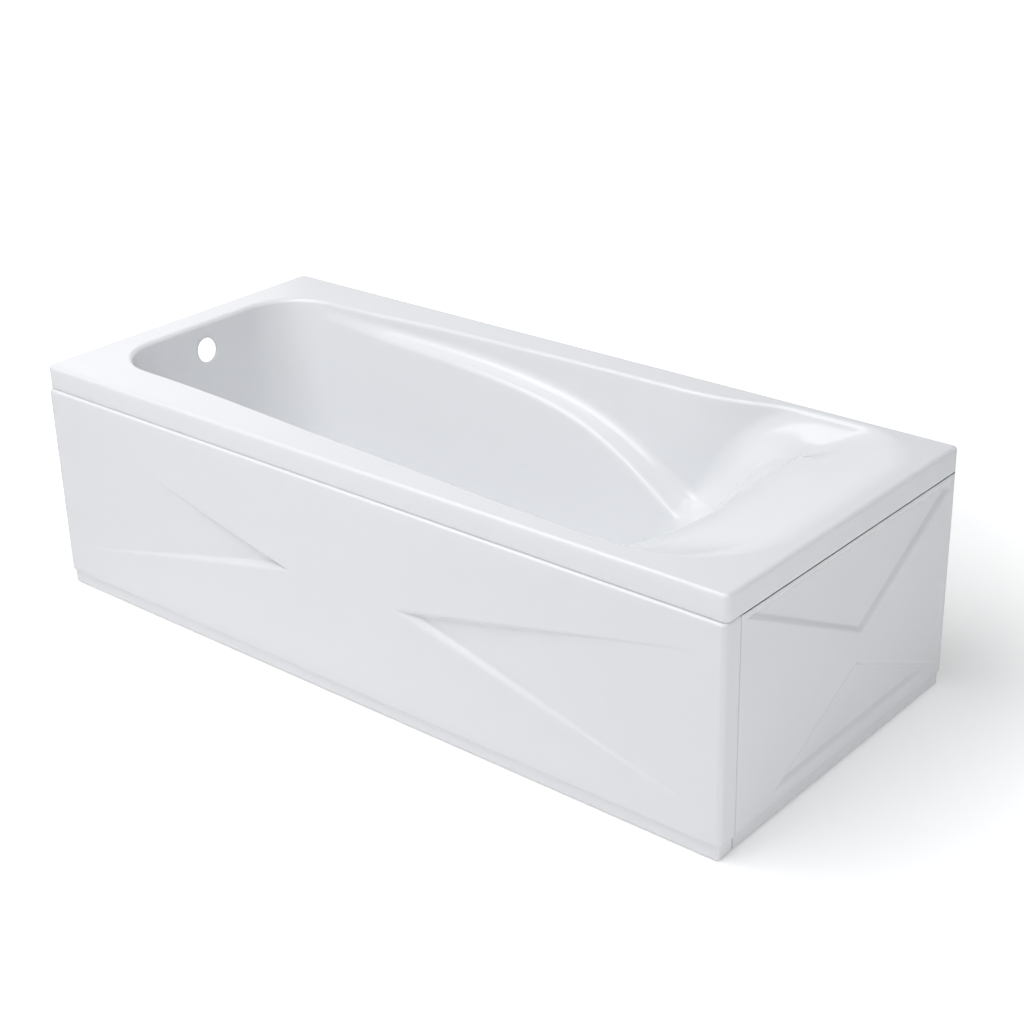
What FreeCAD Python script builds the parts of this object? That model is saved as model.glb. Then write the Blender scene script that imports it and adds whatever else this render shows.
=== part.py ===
"""Acrylic bathtub on a steel frame with adjustable legs, a front panel and an end panel.

Millimetres. +X runs along the bath to the head end, +Y to the wall behind it and +Z up.
The origin is on the floor, under the middle of the whole bath. Front is -Y, left is the
foot end at -X, where the waste and the overflow are.
"""
import FreeCAD, Part
import math
import os

V = FreeCAD.Vector

# The bath as a whole
bath_length = 1700.0
bath_width = 750.0
bath_height = 500.0
overrun = 30.0

# Tub shell: one vacuum-formed sheet with its rim, skirt and basin
shell_thickness = 5.0
skirt_height = 50.0
rim_edge_radius = 8.0
foot_rim_corner_radius = 16.0
head_rim_corner_radius = 10.0
floor_height = 105.0
foot_rim_width = 70.0
head_rim_width = 45.0
floor_radius = 40.0

# Foot channel, the narrow lower part of the basin
channel_rim_width = 113.0
channel_draft_share = 0.16
foot_draft_share = 0.13
foot_corner_radius = 118.0

# Bowl, the wide upper part with the armrests, the shoulders and the head shelf
bowl_start_rim_width = 118.0
bowl_middle_rim_width = 86.0
shoulder_rim_width = 38.0
bowl_draft_share = 0.105
bowl_lean_share = 0.8
bowl_foot_shares = ((0.0, 0.0), (0.15, 0.33), (0.41, 0.91), (0.58, 1.0))
bowl_head_shares = ((0.75, 0.32), (0.87, 0.82), (1.0, 1.0))
head_corner_radius = 240.0
head_slope_width = 140.0
head_slope_corner_radius = 170.0
head_shelf_drop = 54.0
head_shelf_fall = 7.0
backrest_foot_from_head_end = 565.0
backrest_top_from_head_end = 277.0
backrest_top_radius = 55.0
heel_radius = 120.0
armrest_start_drop = 32.0
armrest_middle_drop = 66.0
armrest_low_drop = 233.0
armrest_end_drop = 370.0
armrest_level_shares = ((-1.0, 0.0), (-0.55, 0.3), (-0.12, 1.0))
armrest_sweep_shares = ((0.14, 0.305), (0.27, 0.635), (0.39, 1.0))
armrest_end_share = 0.65

# Waste and overflow holes
waste_hole_radius = 26.0
waste_from_foot_end = 235.0
overflow_hole_radius = 27.0
overflow_drop = 60.0

# Base board bonded under the floor of the tub
board_thickness = 16.0
board_side_margin = 48.8
board_foot_margin = 110.0
board_head_margin = 90.0
board_waste_clearance = 14.0

# Battens bonded under the rim
batten_height = 18.0
batten_width = 26.0
head_batten_width = 16.0
batten_gap = 2.0
side_batten_foot_margin = 90.0
side_batten_head_margin = 620.0
foot_batten_side_margin = 125.0
head_batten_side_margin = 75.0

# Steel frame of square tube
tube_size = 25.0
tube_wall = 2.0
rail_from_side = 105.0
rail_foot_margin = 130.0
rail_head_margin = 60.0
cross_rail_from_foot_end = 420.0
cross_rail_from_head_end = 700.0

# Legs: threaded rod, pad and two nuts each
leg_from_foot_end = 230.0
leg_from_head_end = 150.0
rod_radius = 6.0
rod_projection = 36.0
rod_start = 8.0
rod_clearance = 0.08
thread_clearance = 0.05
nut_height = 10.0
nut_radius = 10.5
pad_radius = 28.0
pad_side_count = 12
hexagon_side_count = 6
pad_neck_radius = 13.0
pad_flange_height = 7.0
pad_height = 22.0

# Panels: thermoformed sheets
panel_ledge = 6.0
panel_thickness = 4.0
panel_top_gap = 0.5
panel_edge_radius = 5.0
panel_foot_corner_radius = 16.0
panel_head_corner_radius = 10.0
panel_floor_gap = 3.0
plinth_height = 28.0
plinth_setback = 5.0
return_width = 45.0
flange_width = 25.0
panel_joint = 4.0
end_panel_setback = 1.0
end_panel_edge_radius = 2.0

# Wedge recesses of the front panel, as shares of half the length and of the panel's height
wedge_depth = 12.0
left_wedge_apex_shares = (-0.1765, 0.5339)
left_wedge_high_shares = (-0.6118, 0.7253)
left_wedge_low_shares = (-0.8588, 0.2514)
right_wedge_apex_shares = (0.1541, 0.545)
right_wedge_high_shares = (0.8765, 0.8387)
right_wedge_low_shares = (0.8647, 0.2358)

# Pockets of the end panel, as shares of half the width and of the panel's height
pocket_depth = 8.0
pocket_slope_width = 8.0
high_pocket_shares = ((-0.8267, 0.9722), (0.1573, 0.5562), (0.9387, 0.9321), (0.9387, 0.9722))
low_pocket_shares = ((-0.5467, 0.1246), (0.92, 0.1335), (0.1333, 0.4316))

# Fixings of the panels
clip_width = 26.0
clip_thickness = 1.5
clip_leg_height = 20.0
clip_play = 0.3
front_clip_shares = (-0.7, -0.25, 0.25, 0.7)
end_clip_shares = (-0.6, 0.6)
bracket_width = 30.0
bracket_thickness = 3.0
front_bracket_shares = (-0.6, 0.0, 0.6)
end_bracket_shares = (-0.64, 0.64)
magnet_size = 20.0
magnet_thickness = 8.0
magnet_height_share = 0.3
magnet_drop = 15.0
keeper_size = 28.0
keeper_thickness = 1.5

# Wall brackets on the back batten
wall_bracket_width = 60.0
wall_bracket_thickness = 3.5
wall_bracket_drop = 104.0
wall_bracket_from_foot_end = (350.0, 850.0)
wall_hole_radius = 4.0
wall_hole_margin = 14.0

# Places and heights worked out from the sizes
left_end = -bath_length / 2
right_end = bath_length / 2
panel_front = -bath_width / 2
skirt_front = panel_front + panel_ledge
skirt_back = bath_width / 2
skirt_bottom = bath_height - skirt_height
deck_under = bath_height - shell_thickness
side_end = bath_width / 2
foot_x = left_end + foot_rim_width
head_x = right_end - head_rim_width
floor_z = floor_height
basin_depth = bath_height - floor_height
channel_half_width = side_end - channel_rim_width
bowl_start_half_width = side_end - bowl_start_rim_width
bowl_middle_half_width = side_end - bowl_middle_rim_width
shoulder_half_width = side_end - shoulder_rim_width
backrest_foot_x = right_end - backrest_foot_from_head_end
backrest_top_x = right_end - backrest_top_from_head_end
board_top = floor_z - shell_thickness
frame_top = board_top - board_thickness
frame_bottom = frame_top - tube_size
waste_x = left_end + waste_from_foot_end
panel_top = skirt_bottom - panel_top_gap
flange_under = panel_top - panel_thickness
plinth_top = panel_floor_gap + plinth_height
batten_bottom = deck_under - batten_height
return_end = panel_front + return_width
end_face = right_end - end_panel_setback
end_panel_start = return_end + panel_joint
end_panel_stop = skirt_back - panel_thickness
board_half_width = channel_half_width - channel_draft_share * basin_depth - board_side_margin
rail_half = tube_size / 2
rail_from_middle = side_end - rail_from_side
rail_inner = rail_from_middle - rail_half
rail_foot_end = left_end + rail_foot_margin
rail_head_end = right_end - rail_head_margin
cross_rail_left_x = left_end + cross_rail_from_foot_end
cross_rail_right_x = right_end - cross_rail_from_head_end
leg_left_x = left_end + leg_from_foot_end
leg_right_x = right_end - leg_from_head_end
rod_length = frame_top + nut_height + rod_projection - rod_start
magnet_z = magnet_height_share * panel_top
bracket_height = magnet_z + magnet_drop - frame_top
front_clip_places = [share * right_end for share in front_clip_shares]
end_clip_places = [share * side_end for share in end_clip_shares]
front_bracket_places = [share * right_end for share in front_bracket_shares]
end_bracket_places = [share * side_end for share in end_bracket_shares]
wall_bracket_places = [left_end + place for place in wall_bracket_from_foot_end]
leg_places = {
    "front_left": (leg_left_x, -rail_from_middle),
    "front_right": (leg_right_x, -rail_from_middle),
    "back_left": (leg_left_x, rail_from_middle),
    "back_right": (leg_right_x, rail_from_middle),
}


def box(x0, x1, y0, y1, z0, z1):
    """A box between two corners."""
    return Part.makeBox(x1 - x0, y1 - y0, z1 - z0, V(x0, y0, z0))


def rod(radius, start, direction, length):
    """A round bar from start along direction."""
    return Part.makeCylinder(radius, length, start, direction)


def corner_arc(before, corner, after, radius):
    """The arc of the given radius that rounds a corner, as its start, middle and end points."""
    back = (before - corner).normalize()
    on = (after - corner).normalize()
    half = back.getAngle(on) / 2
    reach = radius / math.tan(half)
    middle = corner + (back + on).normalize() * (radius / math.sin(half) - radius)
    return corner + back * reach, middle, corner + on * reach


def line(start, end):
    """A straight edge."""
    return Part.LineSegment(start, end).toShape()


def arc(points):
    """A round edge through three points."""
    return Part.Arc(*points).toShape()


def curve(points, start, end):
    """A smooth edge through points, with the directions it starts and ends in."""
    spline = Part.BSplineCurve()
    spline.interpolate(Points=points, InitialTangent=start, FinalTangent=end)
    return spline.toShape()


def slab(corners, thickness):
    """A flat plate of any outline, pushed out along a vector."""
    return Part.Face(Part.makePolygon(corners + corners[:1])).extrude(thickness)


def frustum(low, high):
    """A solid with flat walls between two level rectangles, each given as x0, x1, half width, z."""
    x0, x1, half, z = low
    top_x0, top_x1, top_half, top_z = high
    wedge = Part.makeWedge(x0, z, -half, -top_half, top_x0, x1, top_z, half, top_half, top_x1)
    wedge.rotate(V(0, 0, 0), V(1, 0, 0), 90)
    return wedge


def flat_sided_bar(sides, radius, start, height):
    """An upright bar with a number of equal flats, its corners at a radius."""
    turns = [math.tau * k / sides for k in range(sides)]
    return slab([start + V(radius * math.cos(a), radius * math.sin(a), 0) for a in turns], V(0, 0, height))


def channel_blank(grow, low, high):
    """The foot channel before its floor: flat drafted walls with two round corners at the foot end."""
    rectangles = []
    for z in (low, high):
        drop = bath_height - z
        half_width = channel_half_width - drop * channel_draft_share + grow
        foot = foot_x + drop * foot_draft_share - grow
        rectangles.append((foot, backrest_top_x, half_width, z))
    blank = frustum(*rectangles)
    corners = [e for e in blank.Edges if e.BoundBox.ZLength > overrun and e.BoundBox.XMax < 0]
    return blank.makeFillet(foot_corner_radius + grow, corners)


def bowl_outline(z, grow, head_inset, corner_radius):
    """Outline of the bowl at a height: it widens to the shoulders, nearer to the foot end lower down."""
    drop = bath_height - z
    inset = drop * bowl_draft_share - grow
    start = bowl_start_half_width - inset
    middle = bowl_middle_half_width - inset
    wide = shoulder_half_width - inset
    head = head_x - head_inset + grow
    arc_start = head - corner_radius
    start_x = foot_x + foot_corner_radius
    reach = arc_start - start_x
    places = [(share, start + widening * (middle - start)) for share, widening in bowl_foot_shares]
    places += [(share, middle + widening * (wide - middle)) for share, widening in bowl_head_shares]
    lean = drop * bowl_lean_share
    far_side = [V(start_x + share * (reach - lean), y, z) for share, y in places[:-1]]
    far_side.append(V(arc_start, wide, z))
    near_side = [V(p.x, -p.y, z) for p in far_side]
    along = V(1, 0, 0)
    corner = V(head, wide, z)
    near_corner = V(head, -wide, z)
    second = corner_arc(far_side[-1], corner, near_corner, corner_radius)
    first = corner_arc(corner, near_corner, near_side[-1], corner_radius)
    return Part.Wire([
        line(near_side[0], far_side[0]), curve(far_side, along, along), arc(second),
        line(second[2], first[0]), arc(first), curve(near_side[::-1], -along, -along)])


def under_backrest(grow):
    """Everything below the tub's floor, backrest and head shelf, across the whole width."""
    floor = floor_z - grow
    shelf = bath_height - head_shelf_drop - grow
    slope_shift = grow * (backrest_top_x - backrest_foot_x) / basin_depth
    y = -bath_width
    start = V(-bath_length, y, floor)
    foot = V(backrest_foot_x + slope_shift, y, floor)
    top = V(backrest_top_x + slope_shift, y, shelf - head_shelf_fall)
    end = V(bath_length, y, shelf + head_shelf_fall)
    heel = corner_arc(start, foot, top, heel_radius - grow)
    crest = corner_arc(foot, top, end, backrest_top_radius + grow)
    end_low = V(bath_length, y, floor - overrun)
    start_low = V(-bath_length, y, floor - overrun)
    profile = Part.Wire([
        line(start, heel[0]), arc(heel), line(heel[2], crest[0]), arc(crest), line(crest[2], end),
        line(end, end_low), line(end_low, start_low), line(start_low, start)])
    return Part.Face(profile).extrude(V(0, 2 * bath_width, 0))


def under_armrests(grow):
    """Everything below the armrests, which run level from the foot end and then sweep down to the heel."""
    top = bath_height - grow
    y = -bath_width
    first_fall = armrest_middle_drop - armrest_start_drop
    second_fall = armrest_low_drop - armrest_middle_drop
    places = [(share, armrest_start_drop + fall * first_fall) for share, fall in armrest_level_shares]
    places += [(share, armrest_middle_drop + fall * second_fall) for share, fall in armrest_sweep_shares]
    places.append((armrest_end_share, armrest_end_drop))
    points = [V(share * right_end, y, top - drop) for share, drop in places]
    low = floor_z - grow - 2 * overrun
    sweep = curve(points, V(1, 0, 0), V(1, 0, -1))
    end_low = V(points[-1].x, y, low)
    start_low = V(points[0].x, y, low)
    profile = Part.Wire([
        sweep, line(points[-1], end_low), line(end_low, start_low), line(start_low, points[0])])
    return Part.Face(profile).extrude(V(0, 2 * bath_width, 0))


def edges_between(first_faces, second_faces):
    """The edges that faces of the first list share with faces of the second."""
    found = []
    for a in first_faces:
        for b in second_faces:
            for edge in a.Edges:
                if any(edge.isSame(other) for other in b.Edges):
                    found.append(edge)
    return found


def basin(grow, top):
    """The space inside the tub up to a height, with its walls moved outwards by grow."""
    floor = floor_z - grow
    below = under_backrest(grow)
    channel = channel_blank(grow, floor - overrun, top).cut(below)
    lying = [f for f in channel.Faces if f.BoundBox.ZMax < top - shell_thickness]
    standing = [f for f in channel.Faces if not any(f.isSame(g) for g in lying) and f.BoundBox.XMin < 0]
    standing = [f for f in standing if f.BoundBox.ZMin < top - overrun]
    channel = channel.makeFillet(floor_radius + grow, edges_between(lying, standing))
    band_foot = bath_height - head_shelf_drop - 2 * head_shelf_fall - grow
    bowl = Part.makeLoft([
        bowl_outline(top, grow, 0, head_corner_radius),
        bowl_outline(band_foot, grow, head_slope_width, head_slope_corner_radius),
        bowl_outline(floor, grow, head_slope_width, head_slope_corner_radius)], True, True)
    bowl = bowl.cut(below).cut(under_armrests(grow))
    return channel.fuse(bowl).removeSplitter()


def plan_block(x0, x1, y0, y1, z0, z1, radii):
    """An upright block with rounded corners: front left, front right, back right, back left."""
    corners = [V(x0, y0, z0), V(x1, y0, z0), V(x1, y1, z0), V(x0, y1, z0)]
    turns = [(corner, corner, corner) for corner in corners]
    for k, radius in enumerate(radii):
        if radius:
            turns[k] = corner_arc(corners[k - 1], corners[k], corners[(k + 1) % 4], radius)
    edges = []
    for k, radius in enumerate(radii):
        if radius:
            edges.append(arc(turns[k]))
        edges.append(line(turns[k][2], turns[(k + 1) % 4][0]))
    return Part.Face(Part.Wire(edges)).extrude(V(0, 0, z1 - z0))


def top_edges(block, keep):
    """The edges of a block's top face that pass a test."""
    top = block.BoundBox.ZMax
    return [e for e in block.Edges if top - e.BoundBox.ZMin < shell_thickness and keep(e.BoundBox)]


def overflow_axis():
    """Middle of the overflow hole on the foot wall, and the direction square to that wall."""
    middle = V(foot_x + overflow_drop * foot_draft_share, 0, bath_height - overflow_drop)
    return middle, V(1, 0, foot_draft_share).normalize()


def tub_shell():
    """The one-piece acrylic tub: rim, skirt on all four sides, basin, waste and overflow holes."""
    foot_radius = foot_rim_corner_radius
    head_radius = head_rim_corner_radius
    outer = plan_block(left_end, right_end, skirt_front, skirt_back, skirt_bottom, bath_height,
                       (foot_radius, head_radius, head_radius, foot_radius))
    outer = outer.makeFillet(rim_edge_radius, top_edges(outer, lambda b: True))
    foot_inner = foot_radius - shell_thickness
    head_inner = head_radius - shell_thickness
    hollow = plan_block(left_end + shell_thickness, right_end - shell_thickness, skirt_front + shell_thickness,
                        skirt_back - shell_thickness, skirt_bottom - overrun, deck_under,
                        (foot_inner, head_inner, head_inner, foot_inner))
    wall = basin(shell_thickness, bath_height)
    tub = outer.cut(hollow.cut(wall)).fuse(wall).removeSplitter().cut(basin(0, bath_height))
    waste = rod(waste_hole_radius, V(waste_x, 0, floor_z - overrun), V(0, 0, 1), 2 * overrun)
    middle, out = overflow_axis()
    overflow = rod(overflow_hole_radius, middle - out * overrun, out, 2 * overrun)
    return tub.cut(waste).cut(overflow)


def base_board():
    """The board under the tub's floor, with a wide hole for the waste fitting."""
    board = box(foot_x + board_foot_margin, backrest_foot_x - board_head_margin,
                -board_half_width, board_half_width, frame_top, board_top)
    waste_opening = rod(waste_hole_radius + board_waste_clearance, V(waste_x, 0, 0), V(0, 0, 1), bath_height)
    return board.cut(waste_opening)


def side_batten(y0, y1):
    """A long batten under the rim between two places across the bath."""
    start = left_end + side_batten_foot_margin
    stop = right_end - side_batten_head_margin
    return box(start, stop, y0, y1, batten_bottom, deck_under)


def end_batten(x0, x1, side_margin):
    """A short batten under the rim at one end of the bath, a margin short of both sides."""
    half_length = side_end - side_margin
    return box(x0, x1, -half_length, half_length, batten_bottom, deck_under)


def tube(x0, x1, y0, y1, along_x):
    """A square steel tube of the frame, open at both ends."""
    bar = box(x0, x1, y0, y1, frame_bottom, frame_top)
    past_x = overrun if along_x else -tube_wall
    past_y = -tube_wall if along_x else overrun
    core = box(x0 - past_x, x1 + past_x, y0 - past_y, y1 + past_y, frame_bottom + tube_wall, frame_top - tube_wall)
    return bar.cut(core)


def long_rail(side):
    """The rail along one side of the bath, with holes for its two leg rods."""
    y = side * rail_from_middle
    rail = tube(rail_foot_end, rail_head_end, y - rail_half, y + rail_half, True)
    for x in (leg_left_x, leg_right_x):
        rail = rail.cut(rod(rod_radius + rod_clearance, V(x, y, 0), V(0, 0, 1), bath_height))
    return rail


def cross_rail(x0, x1):
    """A rail across the bath between the long rails."""
    return tube(x0, x1, -rail_inner, rail_inner, False)


def leg_rod(x, y):
    """A threaded rod, standing in its pad and passing through the rail."""
    return rod(rod_radius, V(x, y, rod_start), V(0, 0, 1), rod_length)


def leg_pad(x, y):
    """A foot pad: a flange with grip flats, and a neck with spanner flats and a blind hole for the rod."""
    up = V(0, 0, 1)
    flange = flat_sided_bar(pad_side_count, pad_radius, V(x, y, 0), pad_flange_height)
    pad = flange.fuse(flat_sided_bar(hexagon_side_count, pad_neck_radius, V(x, y, 0), pad_height))
    return pad.cut(rod(rod_radius + thread_clearance, V(x, y, rod_start), up, pad_height))


def leg_nuts():
    """The two nuts of each leg, below and on top of its rail."""
    nuts = []
    for x, y in leg_places.values():
        for z in (frame_bottom - nut_height, frame_top):
            bore = rod(rod_radius + thread_clearance, V(x, y, z), V(0, 0, 1), nut_height)
            nuts.append(flat_sided_bar(hexagon_side_count, nut_radius, V(x, y, z), nut_height).cut(bore))
    return Part.makeCompound(nuts)


def wedge(apex, high, low):
    """A three-sided recess in the front: deepest beside its apex and fading out towards its far edge."""
    a, b, c = [V(along * right_end, panel_front, up * panel_top) for along, up in (apex, high, low)]
    to_b = (b - a).normalize()
    to_c = (c - a).normalize()
    reach = wedge_depth / math.sin(to_b.getAngle(to_c) / 2)
    deep = a + (to_b + to_c).normalize() * reach + V(0, wedge_depth, 0)
    rings = ([a, c, b], [a, b, deep], [b, c, deep], [c, a, deep])
    solid = Part.makeSolid(Part.makeShell([Part.Face(Part.makePolygon(ring + ring[:1])) for ring in rings]))
    if solid.Volume < 0:
        solid.reverse()
    return solid


def pocket(shares):
    """A recess of even depth in the end panel, with sloping walls."""
    rim = [V(end_face, across * side_end, up * panel_top) for across, up in shares]
    floor = []
    for k, corner in enumerate(rim):
        back = (rim[k - 1] - corner).normalize()
        on = (rim[(k + 1) % len(rim)] - corner).normalize()
        reach = pocket_slope_width / math.sin(back.getAngle(on) / 2)
        floor.append(corner + (back + on).normalize() * reach - V(pocket_depth, 0, 0))
    return Part.makeLoft([Part.makePolygon(ring + ring[:1]) for ring in (rim, floor)], True, True)


def front_panel():
    """The front panel: one sheet turned back round both corners, with a top flange, plinth and wedges."""
    t = panel_thickness
    foot, head = panel_foot_corner_radius, panel_head_corner_radius
    outer = plan_block(left_end, right_end, panel_front, return_end, plinth_top, panel_top, (foot, head, 0, 0))
    outer = outer.makeFillet(panel_edge_radius, top_edges(outer, lambda b: b.YMin < return_end - t))
    inner = plan_block(left_end + t, right_end - t, panel_front + t, return_end + overrun, plinth_top + t,
                       flange_under, (foot - t, head - t, 0, 0))
    s = plinth_setback
    plinth = plan_block(left_end + s, right_end - s, panel_front + s, return_end, panel_floor_gap,
                        plinth_top + t, (foot - s, head - s, 0, 0))
    s = plinth_setback + t
    plinth_inner = plan_block(left_end + s, right_end - s, panel_front + s, return_end + overrun, 0,
                              plinth_top + overrun, (foot - s, head - s, 0, 0))
    behind_flange = box(left_end + t, right_end - t, panel_front + flange_width, return_end + overrun,
                        plinth_top + t, bath_height)
    panel = outer.cut(inner).fuse(plinth).cut(plinth_inner).cut(behind_flange)
    wedges = [wedge(left_wedge_apex_shares, left_wedge_high_shares, left_wedge_low_shares),
              wedge(right_wedge_apex_shares, right_wedge_high_shares, right_wedge_low_shares)]
    for recess in wedges:
        backing = recess.copy()
        backing.translate(V(0, t, 0))
        panel = panel.fuse(backing).cut(recess)
    return panel.removeSplitter()


def end_panel():
    """The panel of the head end: a sheet with flanges on three sides, a plinth and two pockets."""
    t = panel_thickness
    r = end_panel_edge_radius
    inside = end_face - flange_width
    outer = plan_block(inside, end_face, end_panel_start, end_panel_stop, plinth_top, panel_top, (0, r, r, 0))
    outer = outer.makeFillet(r, top_edges(outer, lambda b: b.XMax > end_face - t and b.XMin > inside + t))
    inner = box(inside - overrun, end_face - t, end_panel_start + t, end_panel_stop - t, plinth_top + t, flange_under)
    s = plinth_setback
    plinth = box(inside, end_face - s, end_panel_start, end_panel_stop, panel_floor_gap, plinth_top + t)
    plinth_inner = box(inside - overrun, end_face - s - t, end_panel_start + t, end_panel_stop - t, 0,
                       plinth_top + overrun)
    panel = outer.cut(inner).fuse(plinth).cut(plinth_inner)
    for shares in (high_pocket_shares, low_pocket_shares):
        recess = pocket(shares)
        backing = recess.copy()
        backing.translate(V(-t, 0, 0))
        panel = panel.fuse(backing).cut(recess)
    return panel.removeSplitter()


def clip_profile(skirt_inside, flange_end):
    """Section of a panel clip as distances inwards and heights: a leg on the skirt and a jaw for the flange."""
    t = clip_thickness
    jaw_top = panel_top + clip_play
    jaw_under = flange_under - clip_play
    web = flange_end + clip_play
    return [(skirt_inside, jaw_top), (web, jaw_top), (web, jaw_under), (skirt_inside, jaw_under),
            (skirt_inside, jaw_under - t), (web + t, jaw_under - t), (web + t, jaw_top + t),
            (skirt_inside + t, jaw_top + t), (skirt_inside + t, jaw_top + t + clip_leg_height),
            (skirt_inside, jaw_top + t + clip_leg_height)]


def front_panel_clips():
    """The clips on the front skirt that hold the front panel's top flange."""
    profile = clip_profile(skirt_front + shell_thickness, panel_front + flange_width)
    return Part.makeCompound([
        slab([V(x - clip_width / 2, y, z) for y, z in profile], V(clip_width, 0, 0)) for x in front_clip_places])


def end_panel_clips():
    """The clips on the head skirt that hold the end panel's top flange."""
    profile = clip_profile(shell_thickness - right_end, flange_width - end_face)
    return Part.makeCompound([
        slab([V(-inward, y - clip_width / 2, z) for inward, z in profile], V(0, clip_width, 0))
        for y in end_clip_places])


def angle_profile(rail_edge, panel_back):
    """Section of a panel bracket as distances inwards and heights: a flat on the rail and an upstand."""
    t = bracket_thickness
    tab = panel_back + keeper_thickness + magnet_thickness
    return [(rail_edge, frame_top), (tab, frame_top), (tab, frame_top + bracket_height),
            (tab + t, frame_top + bracket_height), (tab + t, frame_top + t), (rail_edge, frame_top + t)]


def front_panel_brackets():
    """The brackets on the front rail that carry the front panel's magnets."""
    profile = angle_profile(-rail_inner, panel_front + panel_thickness)
    return Part.makeCompound([
        slab([V(x - bracket_width / 2, y, z) for y, z in profile], V(bracket_width, 0, 0))
        for x in front_bracket_places])


def end_panel_brackets():
    """The brackets on the end rail that carry the end panel's magnets."""
    profile = angle_profile(tube_size - rail_head_end, panel_thickness - end_face)
    return Part.makeCompound([
        slab([V(-inward, y - bracket_width / 2, z) for inward, z in profile], V(0, bracket_width, 0))
        for y in end_bracket_places])


def panel_magnets():
    """The block magnets on the brackets' upstands."""
    y = panel_front + panel_thickness + keeper_thickness
    x = end_face - panel_thickness - keeper_thickness
    half = magnet_size / 2
    low, high = magnet_z - half, magnet_z + half
    blocks = [box(place - half, place + half, y, y + magnet_thickness, low, high) for place in front_bracket_places]
    blocks += [box(x - magnet_thickness, x, place - half, place + half, low, high) for place in end_bracket_places]
    return Part.makeCompound(blocks)


def front_panel_keepers():
    """The steel plates on the back of the front panel, one for each magnet."""
    y = panel_front + panel_thickness
    half = keeper_size / 2
    return Part.makeCompound([
        box(x - half, x + half, y, y + keeper_thickness, magnet_z - half, magnet_z + half)
        for x in front_bracket_places])


def end_panel_keepers():
    """The steel plates on the back of the end panel, one for each magnet."""
    x = end_face - panel_thickness
    half = keeper_size / 2
    return Part.makeCompound([
        box(x - keeper_thickness, x, y - half, y + half, magnet_z - half, magnet_z + half)
        for y in end_bracket_places])


def wall_brackets():
    """The two plates between the back batten and the skirt, each with a hole for a wall screw."""
    plates = []
    y1 = skirt_back - shell_thickness
    y0 = y1 - wall_bracket_thickness
    for x in wall_bracket_places:
        half = wall_bracket_width / 2
        plate = box(x - half, x + half, y0, y1, batten_bottom - wall_bracket_drop, deck_under)
        start = V(x, y0, batten_bottom - wall_bracket_drop + wall_hole_margin)
        plates.append(plate.cut(rod(wall_hole_radius, start, V(0, 1, 0), wall_bracket_thickness)))
    return Part.makeCompound(plates)


front_batten_y = skirt_front + shell_thickness + batten_gap
back_batten_y = skirt_back - shell_thickness - wall_bracket_thickness
foot_batten_x = left_end + shell_thickness + batten_gap
head_batten_x = right_end - shell_thickness - batten_gap
pieces = {
    "tub_shell": tub_shell(),
    "base_board": base_board(),
    "front_batten": side_batten(front_batten_y, front_batten_y + batten_width),
    "back_batten": side_batten(back_batten_y - batten_width, back_batten_y),
    "foot_batten": end_batten(foot_batten_x, foot_batten_x + batten_width, foot_batten_side_margin),
    "head_batten": end_batten(head_batten_x - head_batten_width, head_batten_x, head_batten_side_margin),
    "front_rail": long_rail(-1),
    "back_rail": long_rail(1),
    "left_cross_rail": cross_rail(cross_rail_left_x - rail_half, cross_rail_left_x + rail_half),
    "right_cross_rail": cross_rail(cross_rail_right_x - rail_half, cross_rail_right_x + rail_half),
    "end_rail": cross_rail(rail_head_end - tube_size, rail_head_end),
    "leg_nuts": leg_nuts(),
    "front_panel": front_panel(),
    "front_panel_clips": front_panel_clips(),
    "front_panel_brackets": front_panel_brackets(),
    "front_panel_keepers": front_panel_keepers(),
    "end_panel": end_panel(),
    "end_panel_clips": end_panel_clips(),
    "end_panel_brackets": end_panel_brackets(),
    "end_panel_keepers": end_panel_keepers(),
    "panel_magnets": panel_magnets(),
    "wall_brackets": wall_brackets(),
}
for place, (leg_x, leg_y) in leg_places.items():
    pieces[place + "_leg_rod"] = leg_rod(leg_x, leg_y)
    pieces[place + "_leg_pad"] = leg_pad(leg_x, leg_y)

os.makedirs("parts", exist_ok=True)
for name, piece in pieces.items():
    piece.exportStep("parts/" + name + ".step")
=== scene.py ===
"""Looks of the acrylic bathtub: tub, panels, frame, legs and a plain studio, as an add-on run as a script.

Metres. +X runs along the bath to the head end, +Y to the wall behind it and +Z up.
"""

import math

import bmesh
import bpy
import numpy as np
from mathutils import Matrix, Vector


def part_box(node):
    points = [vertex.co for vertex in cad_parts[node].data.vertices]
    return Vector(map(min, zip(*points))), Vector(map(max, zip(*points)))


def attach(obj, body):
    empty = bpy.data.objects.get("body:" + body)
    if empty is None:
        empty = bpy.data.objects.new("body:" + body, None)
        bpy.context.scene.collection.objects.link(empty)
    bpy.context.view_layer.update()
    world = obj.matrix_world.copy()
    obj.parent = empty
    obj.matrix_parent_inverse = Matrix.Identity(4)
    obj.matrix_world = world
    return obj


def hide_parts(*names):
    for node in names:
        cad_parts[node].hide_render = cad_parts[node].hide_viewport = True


bl_info = {
    "name": "Acrylic bathtub",
    "version": (1, 0, 0),
    "blender": (4, 5, 0),
    "location": "3D View > Sidebar > Bathtub",
    "description": "Builds the shown surfaces, finishes and studio of a panelled acrylic bathtub",
    "category": "Add Mesh",
}

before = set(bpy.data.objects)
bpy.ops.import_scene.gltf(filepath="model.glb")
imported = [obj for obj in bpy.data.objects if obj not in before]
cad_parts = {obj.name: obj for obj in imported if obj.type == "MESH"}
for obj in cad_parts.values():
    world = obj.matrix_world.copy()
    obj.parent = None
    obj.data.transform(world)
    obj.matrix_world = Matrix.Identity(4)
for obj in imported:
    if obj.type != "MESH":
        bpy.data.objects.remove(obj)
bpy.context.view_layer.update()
LEG_NAMES = ("front_left", "front_right", "back_left", "back_right")

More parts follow.
